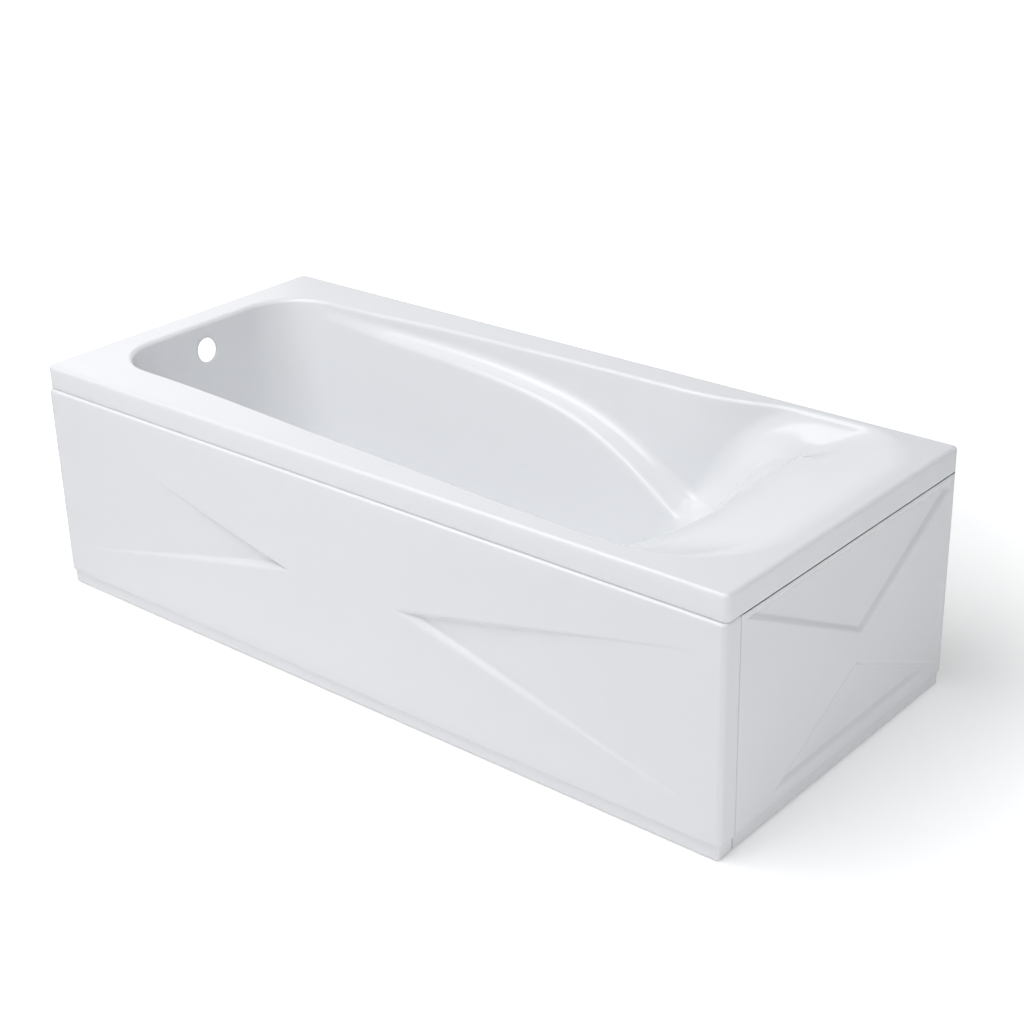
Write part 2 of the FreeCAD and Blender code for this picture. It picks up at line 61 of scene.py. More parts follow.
# Half widths of the bowl at the rim, by place along the bath, on the room side and on the wall side.
NEAR_PLACES = (-0.662, -0.478, -0.302, -0.126, 0.037, 0.194, 0.344, 0.479, 0.600)
NEAR_HALF_WIDTHS = (0.257, 0.265, 0.276, 0.287, 0.295, 0.304, 0.313, 0.319, 0.322)
FAR_PLACES = (-0.662, -0.478, -0.159, 0.050, 0.258, 0.350, 0.420, 0.490, 0.560, 0.665)
FAR_HALF_WIDTHS = (0.259, 0.275, 0.295, 0.301, 0.304, 0.309, 0.324, 0.344, 0.354, 0.356)
# Heights of the armrests' line, by place along the bath.
ARMREST_PLACES = (-0.850, -0.4675, -0.102, 0.119, 0.2295, 0.3315, 0.5525)
ARMREST_HEIGHTS = (0.468, 0.4578, 0.434, 0.38307, 0.32796, 0.267, 0.130)
# Corners of the panels' forms, as place along the panel and height. A wedge is its tip, high and low corner.
LEFT_WEDGE = ((-0.150, 0.240), (-0.520, 0.326), (-0.730, 0.113))
RIGHT_WEDGE = ((0.131, 0.245), (0.745, 0.377), (0.735, 0.106))
HIGH_POCKET = ((-0.310, 0.437), (0.059, 0.250), (0.352, 0.419), (0.352, 0.437))
LOW_POCKET = ((-0.205, 0.056), (0.345, 0.060), (0.050, 0.194))

# The head slope's soft bend at its foot, in shares of its fall.
SLOPE_BEND_START, SLOPE_BEND_LENGTH = 0.8, 0.6
# The share of the bowl's length from which the shift of its lower part to the foot end fades.
LEAN_FADE = 0.70
# Where the backrest's dish starts and is full, from the backrest's foot.
DISH_START, DISH_FULL = -0.20, 0.02
# Distances from the middle between which the crest tightens.
CREST_MIDDLE, CREST_SIDE = 0.05, 0.26
# Places between which the walls' lower rounding grows from the floor's to the shelf's.
WALL_ROUND_START, WALL_ROUND_FULL = 0.20, 0.50
# Rounding where the channel and the bowl stop inside each other.
HIDDEN_MEETING = 0.004

# The tub's mesh: steps along the rim, rows of the basin and of its underside, the columns that stay close
# together, and extra rows down the skirt's outside and up its inside.
RIM_STEP, RIM_ARC_STEPS = 0.0070, 12
BASIN_ROWS, UNDERSIDE_ROWS = 144, 34
FINE_FROM_X, FINE_TO_Y = 0.25, 0.20
SKIRT_HEIGHTS, INNER_SKIRT_HEIGHTS = [0.482, 0.466], [0.466, 0.484]
# The line over the basin from which its rays start, and the lengths between which they meet the sheet.
SPINE_START, SPINE_END, SPINE_HEIGHT = -0.560, 0.150, 0.860
SHORTEST_RAY, LONGEST_RAY = 0.2, 1.6
PROBING_RAYS, HALVINGS = 420, 24
LENGTH_WEIGHT, BEND_WEIGHT = 0.42, 0.58
# Distances at which points count as one, round the holes, and between two rows that would cross.
DOUBLED, HOLE_CLEARANCE, NARROWEST_BAND = 0.00002, 0.001, 0.0002
HOLE_SIDES, HOLE_BAR_HALF = 48, 0.03
# The panels' mesh and the rounding of their plinth's groove.
PANEL_STEP, GROOVE_RADIUS = 0.006, 0.002
# A direction with more than this share along an axis counts as facing that way.
FACING = 0.999


def length(name, description, default):
    """A size in metres for a panel in the sidebar."""
    return bpy.props.FloatProperty(name=name, description=description, default=default, unit="LENGTH",
                                   precision=4)


def share(name, description, default):
    """A plain ratio."""
    return bpy.props.FloatProperty(name=name, description=description, default=default, precision=3)


def colour(name, description, default):
    """A colour as an sRGB hex text."""
    return bpy.props.StringProperty(name=name, description=description, default=default)


class BathTubSizes(bpy.types.PropertyGroup):
    """Sizes of the tub's formed sheet."""
    left_end: length("Foot end", "Outer face of the foot end", -0.850)
    right_end: length("Head end", "Outer face of the head end", 0.850)
    front: length("Front", "Outer face of the front skirt", -0.369)
    back: length("Back", "Outer face of the back skirt", 0.375)
    rim_height: length("Rim height", "Height of the rim's top", 0.500)
    skirt_bottom: length("Skirt bottom", "Height of the skirt's lower edge", 0.450)
    sheet: length("Sheet", "Thickness of the acrylic with its backing", 0.005)
    rim_edge_radius: length("Rim edge radius", "Rounding of the rim's outer edge", 0.008)
    foot_corner: length("Foot corner", "Plan radius of the rim's corners at the foot end", 0.016)
    head_corner: length("Head corner", "Plan radius of the rim's corners at the head end", 0.010)
    opening_radius: length("Opening edge radius", "Rounding between the rim and the basin", 0.009)
    floor_height: length("Floor height", "Height of the basin's floor", 0.105)
    floor_radius: length("Floor radius", "Rounding between the floor and the walls", 0.040)
    channel_half_width: length("Channel half width", "Half width of the foot channel at the rim", 0.262)
    channel_draft: share("Channel draft", "Lean of the channel's side walls", 0.16)
    foot_wall: length("Foot wall", "Place of the foot wall at the rim", -0.780)
    foot_draft: share("Foot draft", "Lean of the foot wall", 0.13)
    foot_radius: length("Foot radius", "Plan radius of the channel's corners", 0.118)
    channel_end: length("Channel end", "Place inside the bowl where the channel stops", 0.450)
    bowl_draft: share("Bowl draft", "Lean of the bowl's side walls", 0.105)
    bowl_lean: share("Bowl lean", "How far the bowl's widening shifts to the foot end for its depth", 0.8)
    head_wall: length("Head wall", "Place of the head slope's upper edge", 0.808)
    head_wall_radius: length("Head radius", "Plan radius of the head slope's upper edge, room side", 0.200)
    far_head_radius: length("Far head radius", "Plan radius of the head slope's upper edge, wall side", 0.145)
    head_slope_width: length("Head slope", "Width of the slope at the head end", 0.170)
    head_slope_radius: length("Head slope radius", "Plan radius of the slope's lower edge, room side", 0.240)
    far_slope_radius: length("Far slope radius", "Plan radius of the slope's lower edge, wall side", 0.080)
    head_slope_drop: length("Head slope drop", "Fall of the head slope", 0.068)
    backrest_foot: length("Backrest foot", "Where the backrest meets the floor", 0.285)
    backrest_top: length("Backrest top", "Where the backrest meets the head shelf", 0.573)
    dish: share("Dish", "Backrest's dish, 1 / (2 * plan radius in metres)", 0.75)
    shelf_height: length("Shelf height", "Height of the head shelf at the backrest", 0.439)
    shelf_rise: share("Shelf rise", "Slope of the head shelf", 0.0123)
    heel_radius: length("Heel radius", "Rounding between floor and backrest", 0.120)
    crest_radius: length("Crest radius", "Rounding between backrest and head shelf", 0.060)
    crest_tightening: share("Crest tightening", "How much tighter the crest is beside the middle", 0.3)
    armrest_wall_radius: length("Armrest wall radius", "Rounding between armrest and bowl wall", 0.022)
    armrest_edge_radius: length("Armrest edge radius", "Rounding of the armrest's inner edge", 0.013)
    shelf_wall_radius: length("Shelf wall radius", "Rounding between shelf or backrest and bowl wall", 0.085)
    waste_place: length("Waste place", "Place of the waste hole along the bath", -0.615)
    waste_radius: length("Waste radius", "Radius of the waste hole", 0.026)
    overflow_drop: length("Overflow drop", "Depth of the overflow hole under the rim", 0.060)
    overflow_radius: length("Overflow radius", "Radius of the overflow hole", 0.027)


class BathPanelSizes(bpy.types.PropertyGroup):
    """Sizes of the two formed panels."""
    sheet: length("Sheet", "Thickness of the panels", 0.004)
    top: length("Top", "Height of the panels' top", 0.4495)
    bottom: length("Bottom", "Height of the panels' lower edge", 0.003)
    plinth_top: length("Plinth top", "Height of the plinth's groove", 0.031)
    plinth_setback: length("Plinth setback", "How far the plinth stands back", 0.005)
    front: length("Front face", "Place of the front panel's face", -0.375)
    shoulder_radius: length("Shoulder radius", "Rounding of the front panel's top edge", 0.005)
    foot_corner: length("Foot corner", "Plan radius at the foot end", 0.016)
    head_corner: length("Head corner", "Plan radius at the head end", 0.010)
    return_end: length("Return end", "Where the front panel's returns stop", -0.330)
    flange: length("Flange", "Width of the top flanges", 0.025)
    wedge_depth: length("Wedge depth", "Depth of the front panel's wedges beside their tips", 0.012)
    end_face: length("End face", "Place of the end panel's face", 0.849)
    end_start: length("End panel start", "Front edge of the end panel", -0.326)
    end_stop: length("End panel stop", "Back edge of the end panel", 0.371)
    end_edge_radius: length("End edge radius", "Rounding of the end panel's edges", 0.002)
    pocket_depth: length("Pocket depth", "Depth of the end panel's pockets", 0.008)
    pocket_slope: length("Pocket slope", "Width of the pockets' sloping walls", 0.008)
    crease_radius: length("Crease radius", "Softness of the formed creases", 0.0035)


class BathLegSizes(bpy.types.PropertyGroup):
    """Sizes of the threaded legs."""
    thread_pitch: length("Thread pitch", "Pitch of the leg thread", 0.00175)
    thread_depth: length("Thread depth", "Depth of the leg thread", 0.0009)
    rod_radius: length("Rod radius", "Outer radius of the leg thread", 0.006)
    pad_radius: length("Pad radius", "Radius of the foot pad", 0.028)
    pad_height: length("Pad height", "Height of the foot pad", 0.022)
    pad_flange: length("Pad flange", "Height of the foot pad's flange", 0.007)
    neck_radius: length("Neck radius", "Radius of the foot pad's neck over its corners", 0.013)


class BathColours(bpy.types.PropertyGroup):
    """Colours of the finishes, as sRGB hex values."""
    acrylic: colour("Acrylic", "The tub's polished sheet", "F1F2F4")
    panel: colour("Panel", "The panels' polished sheet", "EFF0F2")
    backing: colour("Backing", "Resin and glass fibre behind the sheet", "D9D3BF")
    chipboard: colour("Chipboard", "Sealed chipboard", "B08D5F")
    timber: colour("Timber", "Planed softwood", "C9A673")
    powder_coat: colour("Powder coat", "Grey coat of the frame", "8A8D91")
    zinc: colour("Zinc", "Zinc plating", "C3C6C9")
    spring_steel: colour("Spring steel", "Plain spring steel", "9A9DA1")
    ferrite: colour("Ferrite", "Dark ferrite magnets", "2B2B2D")
    foot_plastic: colour("Foot plastic", "Black moulded polyamide", "1C1C1E")
    floor: colour("Floor", "The studio's floor", "F4F4F4")


# Meshes

def put_object(name, data):
    """A new object at the origin, linked to the scene."""
    piece = bpy.data.objects.new(name, data)
    bpy.context.scene.collection.objects.link(piece)
    return piece


def put_mesh(name, points, faces):
    """A smooth-shaded object from an array of points and an array or a list of faces."""
    mesh = bpy.data.meshes.new(name)
    mesh.from_pydata(points.tolist(), [], faces if isinstance(faces, list) else faces.tolist())
    mesh.polygons.foreach_set("use_smooth", np.ones(len(mesh.polygons), dtype=bool))
    mesh.update()
    return put_object(name, mesh)


def grid_faces(rows, columns, closed):
    """Faces of a grid of rows by columns, with the last column joined to the first when it is closed."""
    row = np.arange(rows - 1)[:, None] * columns
    column = np.arange(columns if closed else columns - 1)[None, :]
    after = (column + 1) % columns
    corners = [row + column, row + after, row + columns + after, row + columns + column]
    return np.stack(corners, axis=-1).reshape(-1, 4)


def weld(piece, distance):
    """Merges a piece's doubled points, so that poles and seams are closed."""
    shape = bmesh.new()
    shape.from_mesh(piece.data)
    bmesh.ops.remove_doubles(shape, verts=shape.verts, dist=distance)
    bmesh.ops.dissolve_degenerate(shape, edges=shape.edges, dist=distance / 10)
    shape.to_mesh(piece.data)
    shape.free()


def sharpen(piece, degrees):
    """Keeps edges that turn by more than an angle crisp."""
    piece.data.set_sharp_from_angle(angle=math.radians(degrees))


def turned(name, x, y, radius, z, degrees):
    """A piece turned round an upright axis: (x + radius * cos(angle), y + radius * sin(angle), z)."""
    angle = np.linspace(0, 2 * np.pi, radius.shape[1], endpoint=False)
    rings = np.stack([x + radius * np.cos(angle), y + radius * np.sin(angle), np.broadcast_to(z, radius.shape)],
                     axis=-1)
    piece = put_mesh(name, rings.reshape(-1, 3), grid_faces(*radius.shape, True))
    weld(piece, DOUBLED / 2)
    sharpen(piece, degrees)
    return piece


def inner(a, b, radius):
    """Rounded meeting of two spaces: min(max(a, b), -r) + hypot(max(a + r, 0), max(b + r, 0))."""
    rounding = np.hypot(np.maximum(a + radius, 0), np.maximum(b + radius, 0))
    return np.minimum(np.maximum(a, b), -radius) + rounding


def joined(a, b, radius):
    """Rounded union of two spaces: max(min(a, b), r) - hypot(max(r - a, 0), max(r - b, 0)).

    It is the rounded least of two depths as well.
    """
    rounding = np.hypot(np.maximum(radius - a, 0), np.maximum(radius - b, 0))
    return np.maximum(np.minimum(a, b), radius) - rounding


def clamped_curve(places, values, start_slope, end_slope, count=800):
    """A cubic spline through points with given end slopes, as a table of places and values."""
    x = np.asarray(places, dtype=float)
    y = np.asarray(values, dtype=float)
    h = np.diff(x)
    chord = np.diff(y) / h
    matrix = np.eye(len(x))
    right = np.empty(len(x))
    right[0], right[-1] = start_slope, end_slope
    inside = np.arange(1, len(x) - 1)
    matrix[inside, inside - 1] = h[1:]
    matrix[inside, inside] = 2 * (h[:-1] + h[1:])
    matrix[inside, inside + 1] = h[:-1]
    right[inside] = 3 * (h[1:] * chord[:-1] + h[:-1] * chord[1:])
    slope = np.linalg.solve(matrix, right)
    at = np.linspace(x[0], x[-1], count)
    k = np.clip(np.searchsorted(x, at, side="right") - 1, 0, len(h) - 1)
    t = (at - x[k]) / h[k]
    table = ((1 + 2 * t) * (1 - t) ** 2 * y[k] + t * (1 - t) ** 2 * h[k] * slope[k]
             + t * t * (3 - 2 * t) * y[k + 1] + t * t * (t - 1) * h[k] * slope[k + 1])
    return at, table


def eased(value, start, stop):
    """A smooth step from 0 to 1 between two places: t * t * (3 - 2 * t)."""
    t = np.clip((value - start) / (stop - start), 0.0, 1.0)
    return t * t * (3 - 2 * t)


def bowl_plan(size, x, y, drop):
    """How far a point is outside the bowl's outline at its height.

    Half widths follow one curve along the room side and one along the wall side, whose widening
    stands nearer to the foot end lower down. Each ends in a quarter circle at the head end. Down
    the head slope it grows wider on the room side and tighter on the wall side.
    """
    wall_side = y > 0
    # The slope ends in a soft bend: t - (t - 0.8)^2 / 1.2 between t = 0.8 and t = 1.4, then 1.1.
    fallen = np.clip(drop / size.head_slope_drop, -1.0, SLOPE_BEND_START + SLOPE_BEND_LENGTH)
    bend = np.maximum(fallen - SLOPE_BEND_START, 0.0)
    sunk = fallen - bend * bend / (2 * SLOPE_BEND_LENGTH)
    slope = (1 - bend / SLOPE_BEND_LENGTH) * size.head_slope_width / size.head_slope_drop
    head = size.head_wall - size.head_slope_width * sunk
    upper = np.where(wall_side, size.far_head_radius, size.head_wall_radius)
    lower = np.where(wall_side, size.far_slope_radius, size.head_slope_radius)
    radius = upper + (lower - upper) * sunk
    start = size.foot_wall + size.foot_radius
    along = np.clip((x - start) / (head - radius - start), 0.0, 1.0)
    leaned = x + size.bowl_lean * np.maximum(drop, 0.0) * along * (1 - eased(along, LEAN_FADE, 1.0))
    near = np.interp(leaned, *clamped_curve(NEAR_PLACES, NEAR_HALF_WIDTHS, 0.0, 0.0))
    far = np.interp(leaned, *clamped_curve(FAR_PLACES, FAR_HALF_WIDTHS, 0.0, 0.0))
    half_width = np.where(wall_side, far, near) - size.bowl_draft * drop
    u = x - (head - radius)
    v = np.abs(y) - (half_width - radius)
    corner = np.hypot(np.maximum(u, 0), np.maximum(v, 0))
    plan = np.minimum(np.maximum(u, v), 0) + corner - radius
    towards_head = np.where(u > 0, u * u / np.maximum(corner, 1e-9) ** 2, 0.0)
    lean = size.bowl_draft + towards_head * slope
    return inner(plan / np.sqrt(1 + lean * lean), start - x, HIDDEN_MEETING)


def lying_space(size, x, y, z):
    """How deep a point is under the floor, the dished backrest and the head shelf, by rounded meetings."""
    run = size.backrest_top - size.backrest_foot
    rise = size.shelf_height - size.floor_height
    floor = size.floor_height - z
    foot = size.backrest_foot
    dished = x + size.dish * y * y * eased(x, foot + DISH_START, foot + DISH_FULL)
    backrest = ((dished - foot) * rise - (z - size.floor_height) * run) / math.hypot(run, rise)
    shelf = size.shelf_height + size.shelf_rise * (x - size.backrest_top) - z
    crest = size.crest_radius * (1 - size.crest_tightening * eased(np.abs(y), CREST_MIDDLE, CREST_SIDE))
    return joined(inner(floor, backrest, size.heel_radius), shelf, crest)


def bath_space(size, x, y, z):
    """How far a point is inside the sheet's material, below zero in the air.

    Each wall is a plane's or a curve's distance. The channel is the rounded meeting of its side and
    foot walls, the bowl is the rounded meeting of its outline and the armrests, and both are joined
    along the armrests' edges. What they stand on is the floor, the backrest and the head shelf.
    """
    drop = size.rim_height - z
    draft = size.channel_draft
    side = (np.abs(y) - size.channel_half_width + draft * drop) / math.hypot(1, draft)
    foot = (size.foot_wall + size.foot_draft * drop - x) / math.hypot(1, size.foot_draft)
    channel = inner(inner(side, foot, size.foot_radius), x - size.channel_end, HIDDEN_MEETING)
    places, heights = clamped_curve(ARMREST_PLACES, ARMREST_HEIGHTS, 0.0, -1.0)
    fall = np.gradient(heights, places)
    armrest = (np.interp(x, places, heights) - z) / np.hypot(1, np.interp(x, places, fall))
    bowl = inner(bowl_plan(size, x, y, drop), armrest, size.armrest_wall_radius)
    walls = joined(channel, bowl, size.armrest_edge_radius)
    growth = eased(x, WALL_ROUND_START, WALL_ROUND_FULL)
    foot_of_walls = size.floor_radius + (size.shelf_wall_radius - size.floor_radius) * growth
    basin = inner(walls, lying_space(size, x, y, z), foot_of_walls)
    return joined(basin, drop, size.opening_radius)


def rim_outline(size, step, arc_steps):
    """Points of the rim's plan, inset by its edge radius, with their outward directions.

    A rectangle with quarter-round corners: straight sides in even steps, corners at even angles.
    """
    edge = size.rim_edge_radius
    x0, x1 = size.left_end, size.right_end
    y0, y1 = size.front, size.back
    foot, head = size.foot_corner, size.head_corner
    corners = ((x1 - head, y0 + head, head, -90.0), (x1 - head, y1 - head, head, 0.0),
               (x0 + foot, y1 - foot, foot, 90.0), (x0 + foot, y0 + foot, foot, 180.0))
    points, outward = [], []
    for k, (cx, cy, radius, turn) in enumerate(corners):
        angle = np.radians(turn + np.linspace(0, 90, arc_steps + 1))
        away = np.stack([np.cos(angle), np.sin(angle)], axis=1)
        arc = np.array([cx, cy]) + (radius - edge) * away
        nx, ny, next_radius, next_turn = corners[(k + 1) % 4]
        towards = np.array([math.cos(math.radians(next_turn)), math.sin(math.radians(next_turn))])
        stop = np.array([nx, ny]) + (next_radius - edge) * towards
        count = max(2, int(round(np.linalg.norm(stop - arc[-1]) / step)))
        shares = np.linspace(0, 1, count + 1)[1:-1, None]
        points += [arc, arc[-1] + shares * (stop - arc[-1])]
        outward += [away, np.repeat(towards[None, :], count - 1, axis=0)]
    return np.concatenate(points), np.concatenate(outward)


def ray_lengths(size, origin, ray, depth):
    """Length along each ray at which the material is depth deep, by halving the longest stretch."""
    low = np.full(ray.shape[:2], SHORTEST_RAY)
    high = np.full(ray.shape[:2], LONGEST_RAY)
    for _ in range(HALVINGS):
        middle = (low + high) / 2
        place = origin + ray * middle[..., None]
        deep = bath_space(size, place[..., 0], place[..., 1], place[..., 2]) > depth
        high = np.where(deep, middle, high)
        low = np.where(deep, low, middle)
    return (low + high) / 2


def fan_surface(size, origin, across, reach, depth, rows):
    """Rows of points where the basin's sheet is met from above, closer together where it bends more.

    Each column's rays turn in an upright plane, from straight down to the rim. Their steps share
    the column's length and its bend: weight = 0.42 * length / all length + 0.58 * bend / all bend.
    """
    top_angle = np.arctan2(reach, origin[:, 2] - (size.rim_height - depth))
    angle = np.linspace(0, 1, PROBING_RAYS)[:, None] * top_angle[None, :]

    def cast(angle):
        ray = np.stack([np.sin(angle) * across[:, 0], np.sin(angle) * across[:, 1], -np.cos(angle)], axis=-1)
        return origin[None] + ray * ray_lengths(size, origin[None], ray, depth)[..., None]

    points = cast(angle)
    step = np.diff(points, axis=0)
    span = np.linalg.norm(step, axis=-1)
    facing = step / np.maximum(span, 1e-9)[..., None]
    turn = np.arccos(np.clip((facing[1:] * facing[:-1]).sum(-1), -1, 1))
    bend = np.zeros_like(span)
    bend[1:] += turn / 2
    bend[:-1] += turn / 2
    weight = LENGTH_WEIGHT * span / span.sum(0) + BEND_WEIGHT * bend / np.maximum(bend.sum(0), 1e-6)
    total = np.vstack([np.zeros(weight.shape[1]), np.cumsum(weight, axis=0)])
    total = 0.999 * total / total[-1]
    shift = np.arange(total.shape[1])[None, :]
    wanted = np.linspace(0, 0.999, rows)[:, None] + shift
    chosen = np.interp(wanted.T.ravel(), (total + shift).T.ravel(), angle.T.ravel())
    return cast(chosen.reshape(-1, rows).T)


def shade_by_formula(piece, size):
    """Gives the basin and the rim their exact normals: -gradient of bath_space, by central differences."""
    mesh = piece.data
    places = np.empty(len(mesh.vertices) * 3)
    mesh.vertices.foreach_get("co", places)
    x, y, z = places.reshape(-1, 3).T
    step = 0.0002
    slope = np.stack([bath_space(size, x + step, y, z) - bath_space(size, x - step, y, z),
                      bath_space(size, x, y + step, z) - bath_space(size, x, y - step, z),
                      bath_space(size, x, y, z + step) - bath_space(size, x, y, z - step)], axis=1)
    normal = -slope / np.maximum(np.linalg.norm(slope, axis=1), 1e-9)[:, None]
    beside = np.abs(bath_space(size, x, y, z)) > DOUBLED
    waste = np.hypot(x - size.waste_place, y) < size.waste_radius + HOLE_CLEARANCE
    overflow_z = z - size.rim_height + size.overflow_drop
    overflow = (np.hypot(y, overflow_z) < size.overflow_radius + HOLE_CLEARANCE) & (x < 0)
    # A zero normal leaves the point to Blender's own shading: holes, skirt and underside.
    normal[beside | waste | overflow] = 0.0
    mesh.normals_split_custom_set_from_vertices(normal.tolist())


def profile_rows(base, outward, insets, heights):
    """A plan outline repeated at insets and heights: place = base - outward * inset."""
    insets = np.asarray(insets)[:, None, None]
    plan = base[None] - outward[None] * insets
    rise = np.broadcast_to(np.asarray(heights)[:, None, None], plan.shape[:2] + (1,))
    return np.concatenate([plan, rise], axis=-1)


def quarter(start, stop, count):
    """Even angles in radians between two angles in degrees, without the first."""
    return np.radians(np.linspace(start, stop, count + 1)[1:])


def tub_points(size):
    """All rows of the tub's closed sheet: basin, rim edge, skirt, inside of the skirt and underside."""
    outline, outward = rim_outline(size, RIM_STEP, RIM_ARC_STEPS)
    fine = (outline[:, 0] > FINE_FROM_X) & (outline[:, 1] < FINE_TO_Y)
    kept = fine | (np.arange(len(outline)) % 2 == 0)
    outline, outward = outline[kept], outward[kept]
    spine = np.clip(outline[:, 0], SPINE_START, SPINE_END)
    origin = np.stack([spine, np.zeros_like(spine), np.full_like(spine, SPINE_HEIGHT)], axis=1)
    away = outline - origin[:, :2]
    reach = np.linalg.norm(away, axis=1)
    across = away / reach[:, None]
    basin = fan_surface(size, origin, across, reach, 0.0, BASIN_ROWS)

    edge = size.rim_edge_radius
    a = quarter(0, 90, 6)
    rim = profile_rows(outline, outward, -edge * np.sin(a), size.rim_height - edge + edge * np.cos(a))
    lip = size.sheet / 2
    low = size.skirt_bottom + lip
    b = quarter(0, 180, 6)
    heights = np.concatenate([SKIRT_HEIGHTS, [low], low - lip * np.sin(b), INNER_SKIRT_HEIGHTS])
    insets = np.concatenate([[-edge] * 3, -edge + lip - lip * np.cos(b), [size.sheet - edge] * 2])
    skirt = profile_rows(outline, outward, insets, heights)
    inside = edge - size.sheet
    under_rim = size.rim_height - size.sheet
    c = quarter(0, 90, 3)
    turn = profile_rows(outline, outward, -inside * np.cos(c), under_rim - inside + inside * np.sin(c))
    underside = fan_surface(size, origin, across, reach, size.sheet, UNDERSIDE_ROWS)[::-1]
    rows = np.concatenate([basin, rim, skirt, turn, underside[1:]])
    outside_rows = len(basin) + len(rim) + len(SKIRT_HEIGHTS) + 1 + len(b) // 2
    return rows, outside_rows


def cut_hole(piece, centre, direction, radius):
    """Cuts a round hole through a piece with a many-sided bar, and keeps the result as plain mesh."""
    angle = np.linspace(0, 2 * np.pi, HOLE_SIDES, endpoint=False)
    along = np.asarray(direction, dtype=float)
    along /= np.linalg.norm(along)
    first = np.cross(along, (0.0, 1.0, 0.0))
    first /= np.linalg.norm(first)
    second = np.cross(along, first)
    ring = radius * (np.cos(angle)[:, None] * first + np.sin(angle)[:, None] * second)
    ends = np.array([-HOLE_BAR_HALF, HOLE_BAR_HALF])[:, None, None] * along
    points = (np.asarray(centre) + ring[None] + ends).reshape(-1, 3)
    mesh = bpy.data.meshes.new("hole_bar")
    sides = grid_faces(2, HOLE_SIDES, True).tolist()
    caps = [list(range(HOLE_SIDES))[::-1], list(range(HOLE_SIDES, 2 * HOLE_SIDES))]
    mesh.from_pydata(points.tolist(), [], sides + caps)
    for material in piece.data.materials:
        mesh.materials.append(material)
    bar = put_object("hole_bar", mesh)
    cut = piece.modifiers.new("hole", "BOOLEAN")
    cut.operation = "DIFFERENCE"
    cut.object = bar
    cut.solver = "EXACT"
    bpy.context.view_layer.update()
    result = bpy.data.meshes.new_from_object(piece.evaluated_get(bpy.context.evaluated_depsgraph_get()))
    piece.modifiers.remove(cut)
    old = piece.data
    piece.data = result
    result.name = piece.name
    bpy.data.meshes.remove(old)
    bpy.data.objects.remove(bar)
    bpy.data.meshes.remove(mesh)


# Panels

def panel_path(corners, radii, arc_steps):
    """A plan path with rounded corners, as arc centres, radii, outward directions and mitres.

    corners is a list of plan points; radii rounds each of the inner ones. Every point of the outline
    is centre + radius * outward. On a straight stretch the radius is 0 and the mitre is outward.
    """
    corners = [np.array(corner, dtype=float) for corner in corners]
    stretches = []
    previous = corners[0]
    for k in range(1, len(corners)):
        here = corners[k]
        before = (here - corners[k - 1]) / np.linalg.norm(here - corners[k - 1])
        normal = np.array([before[1], -before[0]])
        last = k == len(corners) - 1
        radius = 0.0 if last else radii[k - 1]
        stop = here - before * radius
        count = max(1, int(round(np.linalg.norm(stop - previous) / PANEL_STEP)))
        shares = np.linspace(0, 1, count + 1)[:, None]
        line = (previous + shares * (stop - previous))[:count + last]
        stretches.append((line, np.zeros(len(line)), normal, normal))
        if not last:
            after = (corners[k + 1] - here) / np.linalg.norm(corners[k + 1] - here)
            turn = math.atan2(normal[1], normal[0]) + np.linspace(0, math.pi / 2, arc_steps + 1)
            away = np.stack([np.cos(turn), np.sin(turn)], axis=1)
            mitre = normal + np.array([after[1], -after[0]])
            stretches.append((stop - normal * radius, np.full(len(turn), radius), away, mitre))
            previous = here + after * radius
    centres, outward, mitres = (
        np.concatenate([np.broadcast_to(stretch[k], (len(stretch[1]), 2)) for stretch in stretches])
        for k in (0, 2, 3))
    return centres, np.concatenate([stretch[1] for stretch in stretches]), outward, mitres


def inset_path(path, inset):
    """The path moved inwards: centre + max(r - i, 0) * outward - max(i - r, 0) * mitre."""
    centre, radius, outward, mitre = path
    kept = np.maximum(radius - inset, 0.0)
    past = np.maximum(inset - radius, 0.0)
    return centre + outward * kept[..., None] - mitre * past[..., None]


def between(low, high, shares):
    """Heights at shares between two lines of heights."""
    return low[None, :] + np.asarray(shares)[:, None] * (high - low)[None, :]


def line_height(x, places):
    """Height of a bent line at x, level beyond its ends."""
    places = sorted(places)
    return np.interp(x, [p[0] for p in places], [p[1] for p in places])


def edge_distance(x, z, start, stop):
    """Signed distance from the line through two points, above zero on its left."""
    dx, dz = stop[0] - start[0], stop[1] - start[1]
    return ((x - start[0]) * -dz + (z - start[1]) * dx) / math.hypot(dx, dz)


def soft_zero(value, radius):
    """Rounded max(value, 0): a parabola within a radius of zero."""
    near_zero = (value + radius) ** 2 / (4 * radius)
    return np.where(value > radius, value, np.where(value < -radius, 0.0, near_zero))


def wedge_depth(x, z, apex, high, low, depth, radius):
    """Depth of a formed wedge: the rounded least of two steep walls beside the tip and one long slope.

    depth = rounded max(0, rounded min(d1, d2, d3 * depth / reach)), d being distances from the sides.
    """
    across = (high[0] - apex[0]) * (low[1] - apex[1]) - (high[1] - apex[1]) * (low[0] - apex[0])
    turn = 1.0 if across > 0 else -1.0
    upper = turn * edge_distance(x, z, apex, high)
    lower = -turn * edge_distance(x, z, apex, low)
    far = turn * edge_distance(x, z, high, low)
    to_high = np.array(high) - np.array(apex)
    to_low = np.array(low) - np.array(apex)
    to_high /= np.linalg.norm(to_high)
    to_low /= np.linalg.norm(to_low)
    half = math.acos(float(to_high @ to_low)) / 2
    middle = to_high + to_low
    deep = np.array(apex) + middle / np.linalg.norm(middle) * depth / math.sin(half)
    reach = turn * edge_distance(deep[0], deep[1], high, low)
    walls = joined(upper, lower, radius)
    return soft_zero(joined(walls, far * depth / reach, radius), radius)


